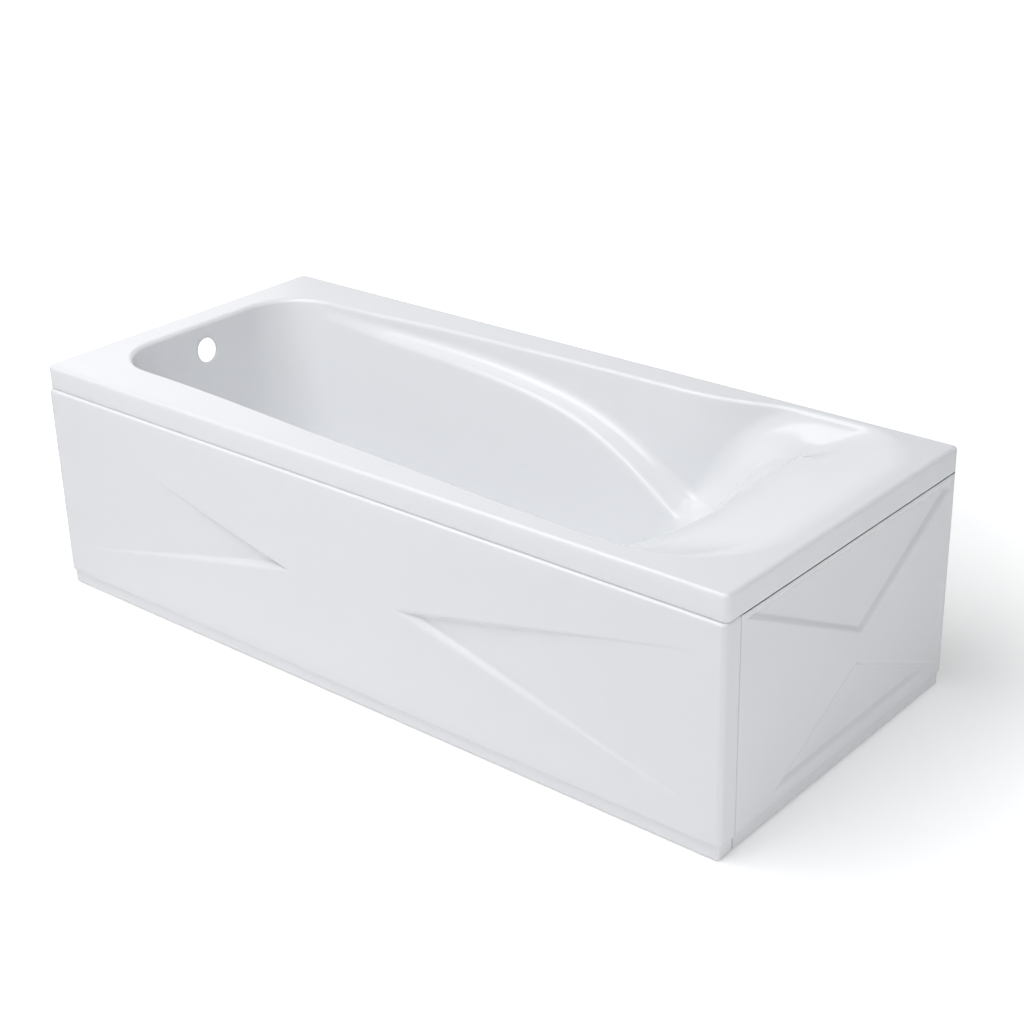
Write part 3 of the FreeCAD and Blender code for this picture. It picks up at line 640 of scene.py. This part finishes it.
def front_rows(x):
    """Heights of the front face's rows, which follow the wedges' lower and upper sides."""
    low, high = (np.where(x < 0, line_height(x, (LEFT_WEDGE[0], LEFT_WEDGE[side])),
                          line_height(x, (RIGHT_WEDGE[0], RIGHT_WEDGE[side]))) for side in (2, 1))
    return low, high


def banded_rows(bottom, top, lines, band, fine, coarse):
    """Rows between two heights: close together in a band round each line, wider between them.

    lines run from low to high. Where bands would cross, their edges meet halfway.
    """
    shares = np.linspace(0, 1, fine + 1)[1:]
    wide = np.linspace(0, 1, coarse + 1)[1:]
    rows = [bottom[None, :]]
    edge = bottom
    for k, line in enumerate(lines):
        under = bottom if k == 0 else lines[k - 1]
        over = top if k == len(lines) - 1 else lines[k + 1]
        band_low = np.maximum(line - band, (line + under) / 2 if k else line - band)
        band_low = np.maximum(band_low, edge + NARROWEST_BAND)
        band_high = np.minimum(line + band, (line + over) / 2 if k < len(lines) - 1 else line + band)
        band_high = np.maximum(band_high, band_low + NARROWEST_BAND)
        rows += [between(edge, band_low, wide), between(band_low, band_high, shares)]
        edge = band_high
    rows.append(between(edge, top, wide))
    return np.concatenate(rows)


def panel_piece(name, path, face_rows, recess, size, shoulder, flange_cap, only_face=None):
    """One formed panel: plinth, groove, face with its recesses, rounded shoulder, top flange and back.

    The section is a closed loop of insets and heights, carried along the path:
    place = path moved inwards by inset, at its height, and further in by the recess depth.
    With only_face, the x of the face, the plinth stands back in x and the panel's ends stay flush.
    """
    count = len(path[0])
    t, r, setback = size.sheet, GROOVE_RADIUS, size.plinth_setback
    low, groove, top = size.bottom, size.plinth_top, size.top

    def level(insets, heights):
        """The same insets and heights at every point of the path."""
        return (np.repeat(np.asarray(insets)[:, None], count, axis=1),
                np.repeat(np.asarray(heights)[:, None], count, axis=1))

    # Bare millimetres here are rows between the sizes, which only spread the mesh or soften the back.
    a, b, c = quarter(90, 0, 3), quarter(0, 90, 4), quarter(0, 90, 6)
    plinth = level(np.concatenate([[setback] * 3, setback - r + r * np.sin(a), [r], r - r * np.sin(b)]),
                   np.concatenate([[low, 0.014, groove - r], groove - r + r * np.cos(a), [groove],
                                   groove + r - r * np.cos(b)]))
    face = (np.zeros_like(face_rows[1:-1]), face_rows[1:-1])
    edge = level(np.concatenate([[0.0], shoulder - shoulder * np.cos(c)]),
                 np.concatenate([[top - shoulder], top - shoulder + shoulder * np.sin(c)]))
    flange = level([0.012, 0.020, size.flange, size.flange, 0.020], [top] * 3 + [top - t] * 2)
    back_edge = level([t + 0.001, t + 0.0003, t], [top - t, top - t - 0.0003, top - t - 0.001])
    back = (face[0][::-1] + t, np.clip(face[1][::-1], groove + t + 0.001, top - t - 0.002))
    back_plinth = level([t, setback + t, setback + t, setback], [groove + t] * 2 + [low] * 2)
    flange = (np.minimum(flange[0], flange_cap[None, :]), flange[1])
    loops = (plinth, face, edge, flange, back_edge, back, back_plinth)
    insets, heights = (np.concatenate([loop[k] for loop in loops])[:-1] for k in (0, 1))
    flush = insets
    if only_face is not None:
        flush = insets.copy()
        flush[:len(plinth[0])] = 0.0
        flush[1 - len(back_plinth[0]):] = t
    sunk = recess(inset_path(path, flush), heights)
    plan = inset_path(path, flush) - path[2][None] * sunk[..., None]
    if only_face is not None:
        plan[..., 0] = np.minimum(plan[..., 0], only_face - insets)
    points = np.concatenate([plan, heights[..., None]], axis=-1)
    rows = len(points)
    sides = grid_faces(count, rows, True)[:, ::-1].tolist()
    first, last = list(range(rows)), list(range((count - 1) * rows, count * rows))
    piece = put_mesh(name, points.transpose(1, 0, 2).reshape(-1, 3), sides + [first, last[::-1]])
    weld(piece, DOUBLED)
    sharpen(piece, 50)
    return piece


# Materials

def linear(hex_value):
    """An sRGB hex value as linear colour with alpha."""
    channels = [int(hex_value[k:k + 2], 16) / 255 for k in (0, 2, 4)]
    return tuple(c / 12.92 if c <= 0.04045 else ((c + 0.055) / 1.055) ** 2.4 for c in channels) + (1.0,)


def plug(tree, node, sockets):
    """Sets or links a node's input sockets."""
    for key, value in sockets.items():
        if isinstance(value, bpy.types.NodeSocket):
            tree.links.new(value, node.inputs[key])
        else:
            node.inputs[key].default_value = value


def add(tree, kind, sockets=None, **settings):
    """Adds a node with its settings, and sets or links its input sockets."""
    node = tree.nodes.new(kind)
    for key, value in settings.items():
        setattr(node, key, value)
    plug(tree, node, sockets or {})
    return node


def new_finish(name):
    """An empty material with its output and Principled shader, and object coordinates."""
    material = bpy.data.materials.new(name)
    material.use_nodes = True
    tree = material.node_tree
    tree.nodes.clear()
    shader = add(tree, "ShaderNodeBsdfPrincipled")
    add(tree, "ShaderNodeOutputMaterial", {"Surface": shader.outputs["BSDF"]})
    place = add(tree, "ShaderNodeTexCoord").outputs["Object"]
    return material, tree, shader, place


def noise(tree, place, millimetres, detail, distortion=0.0):
    """Noise with features of a real size in millimetres."""
    sockets = {"Vector": place, "Scale": 1000.0 / millimetres, "Detail": detail, "Distortion": distortion}
    return add(tree, "ShaderNodeTexNoise", sockets).outputs["Fac"]


def cells(tree, place, millimetres):
    """Cells of a real size in millimetres, each with its own colour."""
    return add(tree, "ShaderNodeTexVoronoi", {"Vector": place, "Scale": 1000.0 / millimetres}, feature="F1")


def spread(tree, value, low, high, to_low=0.0, to_high=1.0, **settings):
    """A value spread from one range to another."""
    sockets = {"Value": value, 1: low, 2: high, 3: to_low, 4: to_high}
    return add(tree, "ShaderNodeMapRange", sockets, **settings).outputs["Result"]


def mottled(tree, place, millimetres, low, high):
    """A grey noise of a real size, spread between two values."""
    return spread(tree, noise(tree, place, millimetres, 3.0), 0.3, 0.7, low, high)


def two_tones(tree, factor, hex_value, dark, light):
    """A mix of one colour made darker and the same colour made lighter."""
    base = linear(hex_value)[:3]
    tones = [tuple(min(1.0, channel * share) for channel in base) + (1.0,) for share in (dark, light)]
    mix = add(tree, "ShaderNodeMix", {"Factor": factor, "A": tones[0], "B": tones[1]}, data_type="RGBA")
    return mix.outputs["Result"]


def raised(tree, height, strength, distance):
    """A surface bumped by a height, at most distance in metres."""
    bump = add(tree, "ShaderNodeBump", {"Height": height, "Strength": strength, "Distance": distance})
    return bump.outputs["Normal"]


def polished_acrylic(name, hex_value, ripple):
    """Vacuum-formed cast acrylic, polished: a clear gloss over white, with a long faint ripple."""
    material, tree, shader, place = new_finish(name)
    plug(tree, shader, {
        "IOR": 1.49, "Base Color": linear(hex_value), "Roughness": mottled(tree, place, 60.0, 0.15, 0.20),
        "Normal": raised(tree, noise(tree, place, 90.0, 1.0), ripple, 0.001)})
    return material


def glass_fibre_resin(name, hex_value):
    """Chopped glass fibre in polyester resin, rolled on by hand: a dull honey white with raised strands."""
    material, tree, shader, place = new_finish(name)
    strands = noise(tree, place, 9.0, 6.0, 2.5)
    plug(tree, shader, {
        "IOR": 1.54, "Base Color": two_tones(tree, spread(tree, strands, 0.35, 0.65), hex_value, 0.8, 1.0),
        "Roughness": mottled(tree, place, 12.0, 0.35, 0.6), "Normal": raised(tree, strands, 0.6, 0.0015)})
    return material


def sealed_chipboard(name, hex_value):
    """Chipboard sealed with resin: flakes of a few millimetres in lighter and darker browns, thinly glazed."""
    material, tree, shader, place = new_finish(name)
    flakes = cells(tree, place, 4.0)
    plug(tree, shader, {
        "IOR": 1.5, "Base Color": two_tones(tree, flakes.outputs["Color"], hex_value, 0.62, 1.25),
        "Roughness": mottled(tree, place, 20.0, 0.45, 0.7),
        "Normal": raised(tree, flakes.outputs["Distance"], 0.25, 0.0006)})
    return material


def planed_softwood(name, hex_value, across):
    """Planed softwood: straight grain along the batten, dark late wood between pale early wood, dull."""
    material, tree, shader, place = new_finish(name)
    grain = (1.0, 0.03, 1.0) if across else (0.03, 1.0, 1.0)
    stretched = add(tree, "ShaderNodeMapping", {"Vector": place, "Scale": grain}).outputs["Vector"]
    rings = noise(tree, stretched, 5.0, 5.0, 0.6)
    plug(tree, shader, {
        "IOR": 1.5, "Base Color": two_tones(tree, spread(tree, rings, 0.35, 0.65), hex_value, 0.68, 1.1),
        "Roughness": mottled(tree, place, 15.0, 0.5, 0.75), "Normal": raised(tree, rings, 0.2, 0.0005)})
    return material


def powder_coated_steel(name, hex_value):
    """Powder-coated mild steel tube: an even grey coat with fine orange peel."""
    material, tree, shader, place = new_finish(name)
    plug(tree, shader, {
        "IOR": 1.5, "Base Color": linear(hex_value), "Roughness": mottled(tree, place, 3.0, 0.32, 0.48),
        "Normal": raised(tree, noise(tree, place, 1.5, 1.0), 0.25, 0.0002)})
    return material


def bare_metal(name, hex_value, low, high, grain, darker):
    """A metal whose roughness and tint vary in patches: spangle on zinc, rolling haze on spring steel."""
    material, tree, shader, place = new_finish(name)
    patches = cells(tree, place, grain).outputs["Color"]
    plug(tree, shader, {"Metallic": 1.0, "Base Color": two_tones(tree, patches, hex_value, darker, 1.0),
                        "Roughness": mottled(tree, place, 8.0, low, high)})
    return material


def moulded_polyamide(name, hex_value):
    """Black moulded polyamide: an eroded matt skin with a slightly worn sheen."""
    material, tree, shader, place = new_finish(name)
    plug(tree, shader, {
        "IOR": 1.53, "Base Color": linear(hex_value), "Roughness": mottled(tree, place, 10.0, 0.45, 0.65),
        "Normal": raised(tree, noise(tree, place, 0.8, 2.0), 0.3, 0.0002)})
    return material


def pressed_ferrite(name, hex_value):
    """Pressed and sintered ferrite: nearly black, fine grained, with a dull grey bloom."""
    material, tree, shader, place = new_finish(name)
    plug(tree, shader, {"Base Color": linear(hex_value), "Roughness": mottled(tree, place, 2.0, 0.5, 0.7)})
    return material


def finish(piece, *materials):
    """Gives a piece its materials in order."""
    piece.data.materials.clear()
    for material in materials:
        piece.data.materials.append(material)


def finish_nodes(material, *names):
    """Gives CAD nodes a material."""
    for name in names:
        finish(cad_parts[name], material)


class BATH_OT_tub(bpy.types.Operator):
    """Build the tub's sheet with its basin, armrests, backrest, rim, skirt and two holes"""
    bl_idname = "bath.tub"
    bl_label = "Tub"

    def execute(self, context):
        size = context.scene.bath_tub
        tint = context.scene.bath_colours
        rows, outside_rows = tub_points(size)
        faces = grid_faces(*rows.shape[:2], True)
        under = (np.arange(len(faces)) // rows.shape[1] >= outside_rows).astype(np.int32)
        tub = put_mesh("tub_sheet", rows.reshape(-1, 3), faces)
        finish(tub, polished_acrylic("polished_white_acrylic", tint.acrylic, 0.12),
               glass_fibre_resin("glass_fibre_backing", tint.backing))
        tub.data.polygons.foreach_set("material_index", under)
        weld(tub, DOUBLED)
        lean = (1.0, 0.0, size.foot_draft)
        place = size.foot_wall + size.foot_draft * size.overflow_drop
        cut_hole(tub, (place, 0.0, size.rim_height - size.overflow_drop), lean, size.overflow_radius)
        cut_hole(tub, (size.waste_place, 0.0, size.floor_height), (0.0, 0.0, 1.0), size.waste_radius)
        sharpen(tub, 40)
        shade_by_formula(tub, size)
        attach(tub, "bath")
        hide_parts("tub_shell")
        return {"FINISHED"}


class BATH_OT_front_panel(bpy.types.Operator):
    """Build the front panel with its returns, shoulder, plinth and two wedges"""
    bl_idname = "bath.front_panel"
    bl_label = "Front panel"

    def execute(self, context):
        size = context.scene.bath_panels
        tub = context.scene.bath_tub
        tint = context.scene.bath_colours
        left, right, back = tub.left_end, tub.right_end, size.return_end
        path = panel_path([(left, back), (left, size.front), (right, size.front), (right, back)],
                          (size.foot_corner, size.head_corner), arc_steps=10)
        forward = -path[2][:, 1]
        x = inset_path(path, np.zeros(len(forward)))[:, 0]
        bottom = np.full_like(x, size.plinth_top + GROOVE_RADIUS)
        top = np.full_like(x, size.top - size.shoulder_radius)
        rows = banded_rows(bottom, top, front_rows(x), band=0.016, fine=16, coarse=7)

        def recess(plan, z):
            """Depth of the two wedges on the face between the corners."""
            depth = sum(wedge_depth(plan[..., 0], z, *places, size.wedge_depth, size.crease_radius)
                        for places in (LEFT_WEDGE, RIGHT_WEDGE))
            return np.where(forward > FACING, depth, 0.0)

        # The top flange runs out round the corners, so that it doesn't cross itself.
        cap = np.where(forward > FACING, size.flange,
                       np.maximum(size.shoulder_radius, size.flange * forward))
        panel = panel_piece("front_panel_sheet", path, rows, recess, size, size.shoulder_radius, cap)
        finish(panel, polished_acrylic("polished_front_panel_acrylic", tint.panel, 0.10))
        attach(panel, "front_panel_body")
        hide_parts("front_panel")
        return {"FINISHED"}


class BATH_OT_end_panel(bpy.types.Operator):
    """Build the end panel with its flanges, plinth and two pockets"""
    bl_idname = "bath.end_panel"
    bl_label = "End panel"

    def execute(self, context):
        size = context.scene.bath_panels
        tint = context.scene.bath_colours
        face, start, stop, edge = size.end_face, size.end_start, size.end_stop, size.end_edge_radius
        inside = face - size.flange
        path = panel_path([(inside, start), (face, start), (face, stop), (inside, stop)], (edge, edge),
                          arc_steps=5)
        outward_x = path[2][:, 0]
        y = inset_path(path, np.zeros(len(outward_x)))[:, 1]
        low_under = line_height(y, LOW_POCKET[:2])
        low_over = np.maximum(line_height(y, LOW_POCKET), low_under + 0.001)
        high_under = line_height(y, HIGH_POCKET[:3])
        high_over = np.full_like(y, HIGH_POCKET[0][1])
        bottom = np.full_like(y, size.plinth_top + GROOVE_RADIUS)
        top = np.full_like(y, size.top - edge)
        lines = (low_under, low_over, high_under, high_over)
        rows = banded_rows(bottom, top, lines, band=0.012, fine=12, coarse=5)

        def recess(plan, z):
            """Depth of the two pockets: each the rounded least of its sloping walls and its level."""
            depth = 0.0
            for places in (HIGH_POCKET, LOW_POCKET):
                inside = None
                for k, start in enumerate(places):
                    distance = edge_distance(plan[..., 1], z, start, places[(k + 1) % len(places)])
                    inside = distance if inside is None else joined(inside, distance, size.crease_radius)
                wall = inside * size.pocket_depth / size.pocket_slope
                level = np.full_like(wall, size.pocket_depth)
                depth = depth + soft_zero(joined(wall, level, size.crease_radius), size.crease_radius)
            return np.where(outward_x > FACING, depth, 0.0)

        cap = np.full(len(y), size.flange)
        panel = panel_piece("end_panel_sheet", path, rows, recess, size, edge, cap, face)
        finish(panel, polished_acrylic("polished_end_panel_acrylic", tint.panel, 0.10))
        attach(panel, "end_panel_body")
        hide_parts("end_panel")
        return {"FINISHED"}


class BATH_OT_frame(bpy.types.Operator):
    """Finish the board, the battens, the steel frame, the clips, the magnets and the brackets"""
    bl_idname = "bath.frame"
    bl_label = "Frame"

    def execute(self, context):
        tint = context.scene.bath_colours
        long_grain = planed_softwood("planed_softwood_long", tint.timber, False)
        short_grain = planed_softwood("planed_softwood_short", tint.timber, True)
        coat = powder_coated_steel("powder_coated_steel", tint.powder_coat)
        zinc = bare_metal("zinc_plated_steel", tint.zinc, 0.28, 0.42, 6.0, 0.85)
        keeper = bare_metal("zinc_plated_keeper", tint.zinc, 0.30, 0.45, 6.0, 0.85)
        spring = bare_metal("rolled_spring_steel", tint.spring_steel, 0.22, 0.34, 3.0, 0.8)
        finish_nodes(sealed_chipboard("sealed_chipboard", tint.chipboard), "base_board")
        finish_nodes(long_grain, "front_batten", "back_batten")
        finish_nodes(short_grain, "foot_batten", "head_batten")
        finish_nodes(coat, "front_rail", "back_rail", "left_cross_rail", "right_cross_rail", "end_rail",
                     "front_panel_brackets", "end_panel_brackets")
        finish_nodes(zinc, "wall_brackets", "leg_nuts")
        finish_nodes(keeper, "front_panel_keepers", "end_panel_keepers")
        finish_nodes(spring, "front_panel_clips", "end_panel_clips")
        finish_nodes(pressed_ferrite("pressed_ferrite", tint.ferrite), "panel_magnets")
        return {"FINISHED"}


class BATH_OT_legs(bpy.types.Operator):
    """Build the four threaded rods and foot pads"""
    bl_idname = "bath.legs"
    bl_label = "Legs"

    def execute(self, context):
        size = context.scene.bath_legs
        tint = context.scene.bath_colours
        zinc = bare_metal("zinc_plated_thread", tint.zinc, 0.28, 0.42, 6.0, 0.85)
        plastic = moulded_polyamide("moulded_polyamide", tint.foot_plastic)
        for name in LEG_NAMES:
            low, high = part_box(name + "_leg_rod")
            x, y = (low[0] + high[0]) / 2, (low[1] + high[1]) / 2
            rod = self.threaded_rod(name + "_threaded_rod", x, y, low[2], high[2], size)
            finish(rod, zinc)
            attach(rod, name + "_leg")
            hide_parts(name + "_leg_rod")
            pad = self.foot_pad(name + "_foot_pad", x, y, size)
            finish(pad, plastic)
            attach(pad, name + "_leg")
            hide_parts(name + "_leg_pad")
        return {"FINISHED"}

    def threaded_rod(self, name, x, y, low, high, size):
        """A rod whose radius is R - depth * |2 * frac(z / pitch - angle / turn) - 1|, closed at both ends."""
        sides, rows_per_turn = 20, 6
        z = np.linspace(low, high, int((high - low) / size.thread_pitch * rows_per_turn))[:, None]
        angle = np.linspace(0, 2 * np.pi, sides, endpoint=False)
        phase = z / size.thread_pitch - angle / (2 * np.pi)
        radius = size.rod_radius - size.thread_depth * np.abs(2 * (phase - np.floor(phase)) - 1)
        taper = np.minimum(z - low, high - z)
        radius = np.minimum(radius, size.rod_radius - size.thread_depth + taper)
        ends = ((1, 1), (0, 0))
        return turned(name, x, y, np.pad(radius, ends), np.pad(z, ends, mode="edge"), 70)

    def foot_pad(self, name, x, y, size):
        """A moulded pad turned round its axis, with twelve soft flats on its flange and six on its neck.

        radius = r(v) * (1 - flat * (1 - cos(n * angle)) / 2) along a rounded profile.
        """
        flange, neck, r, lip = size.pad_radius, size.neck_radius, 0.002, 0.001
        bore, bore_floor = 0.0062, 0.0078
        flange_top, top, sides = size.pad_flange, size.pad_height, 96
        turn = quarter(0, 90, 4)
        sine, cosine = np.sin(turn), np.cos(turn)
        radii = np.concatenate([[0.0, flange - r], flange - r + r * sine, flange - r + r * cosine, [neck + r],
                                neck + r - r * sine, neck - lip + lip * cosine, [bore, bore, 0.0]])
        heights = np.concatenate([[0.0, 0.0], r - r * cosine, flange_top - r + r * sine, [flange_top],
                                  flange_top + r - r * cosine, top - lip + lip * sine,
                                  [top, bore_floor, bore_floor]])
        angle = np.linspace(0, 2 * np.pi, sides, endpoint=False)
        on_flange = (heights < flange_top + 0.0001) & (radii > neck + 2 * r)
        on_neck = (heights > flange_top + r) & (radii > bore + 0.001)
        flats = np.where(on_flange[:, None], 0.03 * (1 - np.cos(12 * angle)) / 2,
                         np.where(on_neck[:, None], 0.13 * (1 - np.cos(6 * angle)) / 2, 0.0))
        return turned(name, x, y, radii[:, None] * (1 - flats), heights[:, None], 45)


class BATH_OT_stage(bpy.types.Operator):
    """Set up the floor, the soft lights, the white surroundings and the camera"""
    bl_idname = "bath.stage"
    bl_label = "Studio"

    def execute(self, context):
        tint = context.scene.bath_colours
        scene = context.scene
        corners = np.array([[-9.0, -9.0, 0.0], [9.0, -9.0, 0.0], [9.0, 9.0, 0.0], [-9.0, 9.0, 0.0]])
        floor = put_mesh("studio_floor", corners, np.array([[0, 1, 2, 3]]))
        material, tree, shader, place = new_finish("pale_studio_floor")
        # Painted light: camera rays see the floor glowing brighter than it is lit, weakly up to a metre from
        # the bath's middle and more strongly from two metres out, so that the floor is white and keeps the
        # bath's shadow.
        path = add(tree, "ShaderNodeLightPath")
        far = add(tree, "ShaderNodeVectorMath", {0: place}, operation="LENGTH").outputs["Value"]
        shown = spread(tree, far, 0.95, 2.0, 0.30, 0.84, interpolation_type="SMOOTHSTEP")
        painted_floor_glow = add(tree, "ShaderNodeMath", {0: path.outputs["Is Camera Ray"], 1: shown}, operation="MULTIPLY")
        plug(tree, shader, {"Base Color": linear(tint.floor), "Roughness": 0.9, "Specular IOR Level": 0.0,
                            "Emission Color": (1.0, 1.0, 1.0, 1.0), "Emission Strength": painted_floor_glow.outputs[0]})
        finish(floor, material)
        self.world(scene)
        # Each light: its place, the point that it faces, its width, its height and its watts.
        self.lamp("key_softbox", (-0.6, -1.4, 3.4), (0.0, 0.0, 0.4), 3.2, 2.6, 86.0)
        self.lamp("front_softbox", (0.2, -4.2, 1.3), (0.0, 0.0, 0.3), 3.4, 1.6, 12.0)
        self.lamp("back_left_softbox", (-3.2, 1.75, 1.40), (-0.8, -0.1, 0.5), 1.1, 0.9, 1.4)
        self.lamp("low_end_softbox", (2.9, -0.5, 0.28), (0.85, 0.0, 0.25), 1.8, 0.4, 10.0)
        self.camera(scene)
        scene.view_settings.view_transform = "Standard"
        return {"FINISHED"}

    def world(self, scene):
        """A soft white surround: full white behind the bath, dimmer as a light and in the gloss."""
        world = bpy.data.worlds.new("studio_surround")
        world.use_nodes = True
        tree = world.node_tree
        tree.nodes.clear()
        ambient = 0.36
        behind_foot_end = (-0.74, 0.67, 0.0)
        path = add(tree, "ShaderNodeLightPath")
        where = add(tree, "ShaderNodeTexCoord").outputs["Generated"]
        height = add(tree, "ShaderNodeSeparateXYZ", {"Vector": where}).outputs["Z"]
        # The glossy sheet mirrors a white sweep behind the foot end and a darker ceiling.
        side = add(tree, "ShaderNodeVectorMath", {0: where, 1: behind_foot_end}, operation="DOT_PRODUCT")
        sweep = spread(tree, side.outputs["Value"], 0.0, 0.9, 0.50, 1.0, interpolation_type="SMOOTHSTEP")
        ceiling = spread(tree, height, 0.20, 0.60, 1.0, 0.0, interpolation_type="SMOOTHSTEP")
        glow = add(tree, "ShaderNodeMix", {0: ceiling, 2: ambient, 3: sweep}, data_type="FLOAT").outputs[0]
        glossy = path.outputs["Is Glossy Ray"]
        strength = add(tree, "ShaderNodeMix", {0: glossy, 2: ambient, 3: glow}, data_type="FLOAT").outputs[0]
        soft = add(tree, "ShaderNodeBackground", {"Color": (0.95, 0.97, 1.0, 1.0), "Strength": strength})
        white = add(tree, "ShaderNodeBackground", {"Color": (1.0, 1.0, 1.0, 1.0), "Strength": 1.0})
        mix = add(tree, "ShaderNodeMixShader", {0: path.outputs["Is Camera Ray"], 1: soft.outputs[0],
                                                2: white.outputs[0]})
        add(tree, "ShaderNodeOutputWorld", {"Surface": mix.outputs[0]})
        scene.world = world

    def lamp(self, name, place, target, width, height, watts):
        """A rectangular soft light turned towards a point."""
        light = bpy.data.lights.new(name, "AREA")
        light.shape = "RECTANGLE"
        light.size = width
        light.size_y = height
        light.energy = watts
        lamp = put_object(name, light)
        lamp.location = place
        lamp.rotation_euler = (Vector(target) - Vector(place)).to_track_quat("-Z", "Y").to_euler()

    def camera(self, scene):
        """The photograph's view: right of the front, a little above, with a slight roll."""
        data = bpy.data.cameras.new("photo_camera")
        data.sensor_width = 36.0
        data.lens = 67.096
        data.clip_end = 50.0
        place = (2.304306, -2.570515, 1.880877)
        azimuth, elevation, roll = math.radians(40.657), math.radians(25.109), math.radians(-1.495)
        back = Vector((math.sin(azimuth) * math.cos(elevation), -math.cos(azimuth) * math.cos(elevation),
                       math.sin(elevation)))
        level = Vector((0.0, 0.0, 1.0)).cross(back).normalized()
        upright = back.cross(level)
        right = math.cos(roll) * level + math.sin(roll) * upright
        up = -math.sin(roll) * level + math.cos(roll) * upright
        camera = put_object("photo_camera", data)
        camera.matrix_world = Matrix.Translation(place) @ Matrix((right, up, back)).transposed().to_4x4()
        scene.camera = camera


class BATH_PT_sidebar(bpy.types.Panel):
    """The bathtub's pieces in the sidebar"""
    bl_idname = "BATH_PT_sidebar"
    bl_label = "Bathtub"
    bl_space_type = "VIEW_3D"
    bl_region_type = "UI"
    bl_category = "Bathtub"

    def draw(self, context):
        for operator in OPERATORS:
            self.layout.operator(operator.bl_idname)
        for group in GROUPS:
            values = getattr(context.scene, group)
            box = self.layout.box()
            for name in values.__annotations__:
                box.prop(values, name)


GROUPS = {"bath_tub": BathTubSizes, "bath_panels": BathPanelSizes, "bath_legs": BathLegSizes,
          "bath_colours": BathColours}
OPERATORS = (BATH_OT_stage, BATH_OT_tub, BATH_OT_front_panel, BATH_OT_end_panel, BATH_OT_frame, BATH_OT_legs)
CLASSES = tuple(GROUPS.values()) + OPERATORS + (BATH_PT_sidebar,)


def register():
    """Registers the classes and puts their sizes on the scene."""
    for cls in CLASSES:
        bpy.utils.register_class(cls)
    for name, group in GROUPS.items():
        setattr(bpy.types.Scene, name, bpy.props.PointerProperty(type=group))


def unregister():
    """Takes the sizes and the classes away again."""
    for name in GROUPS:
        delattr(bpy.types.Scene, name)
    for cls in reversed(CLASSES):
        bpy.utils.unregister_class(cls)


def main():
    """Builds everything."""
    register()
    for operator in OPERATORS:
        category, name = operator.bl_idname.split(".")
        getattr(getattr(bpy.ops, category), name)()


if __name__ == "__main__":
    main()
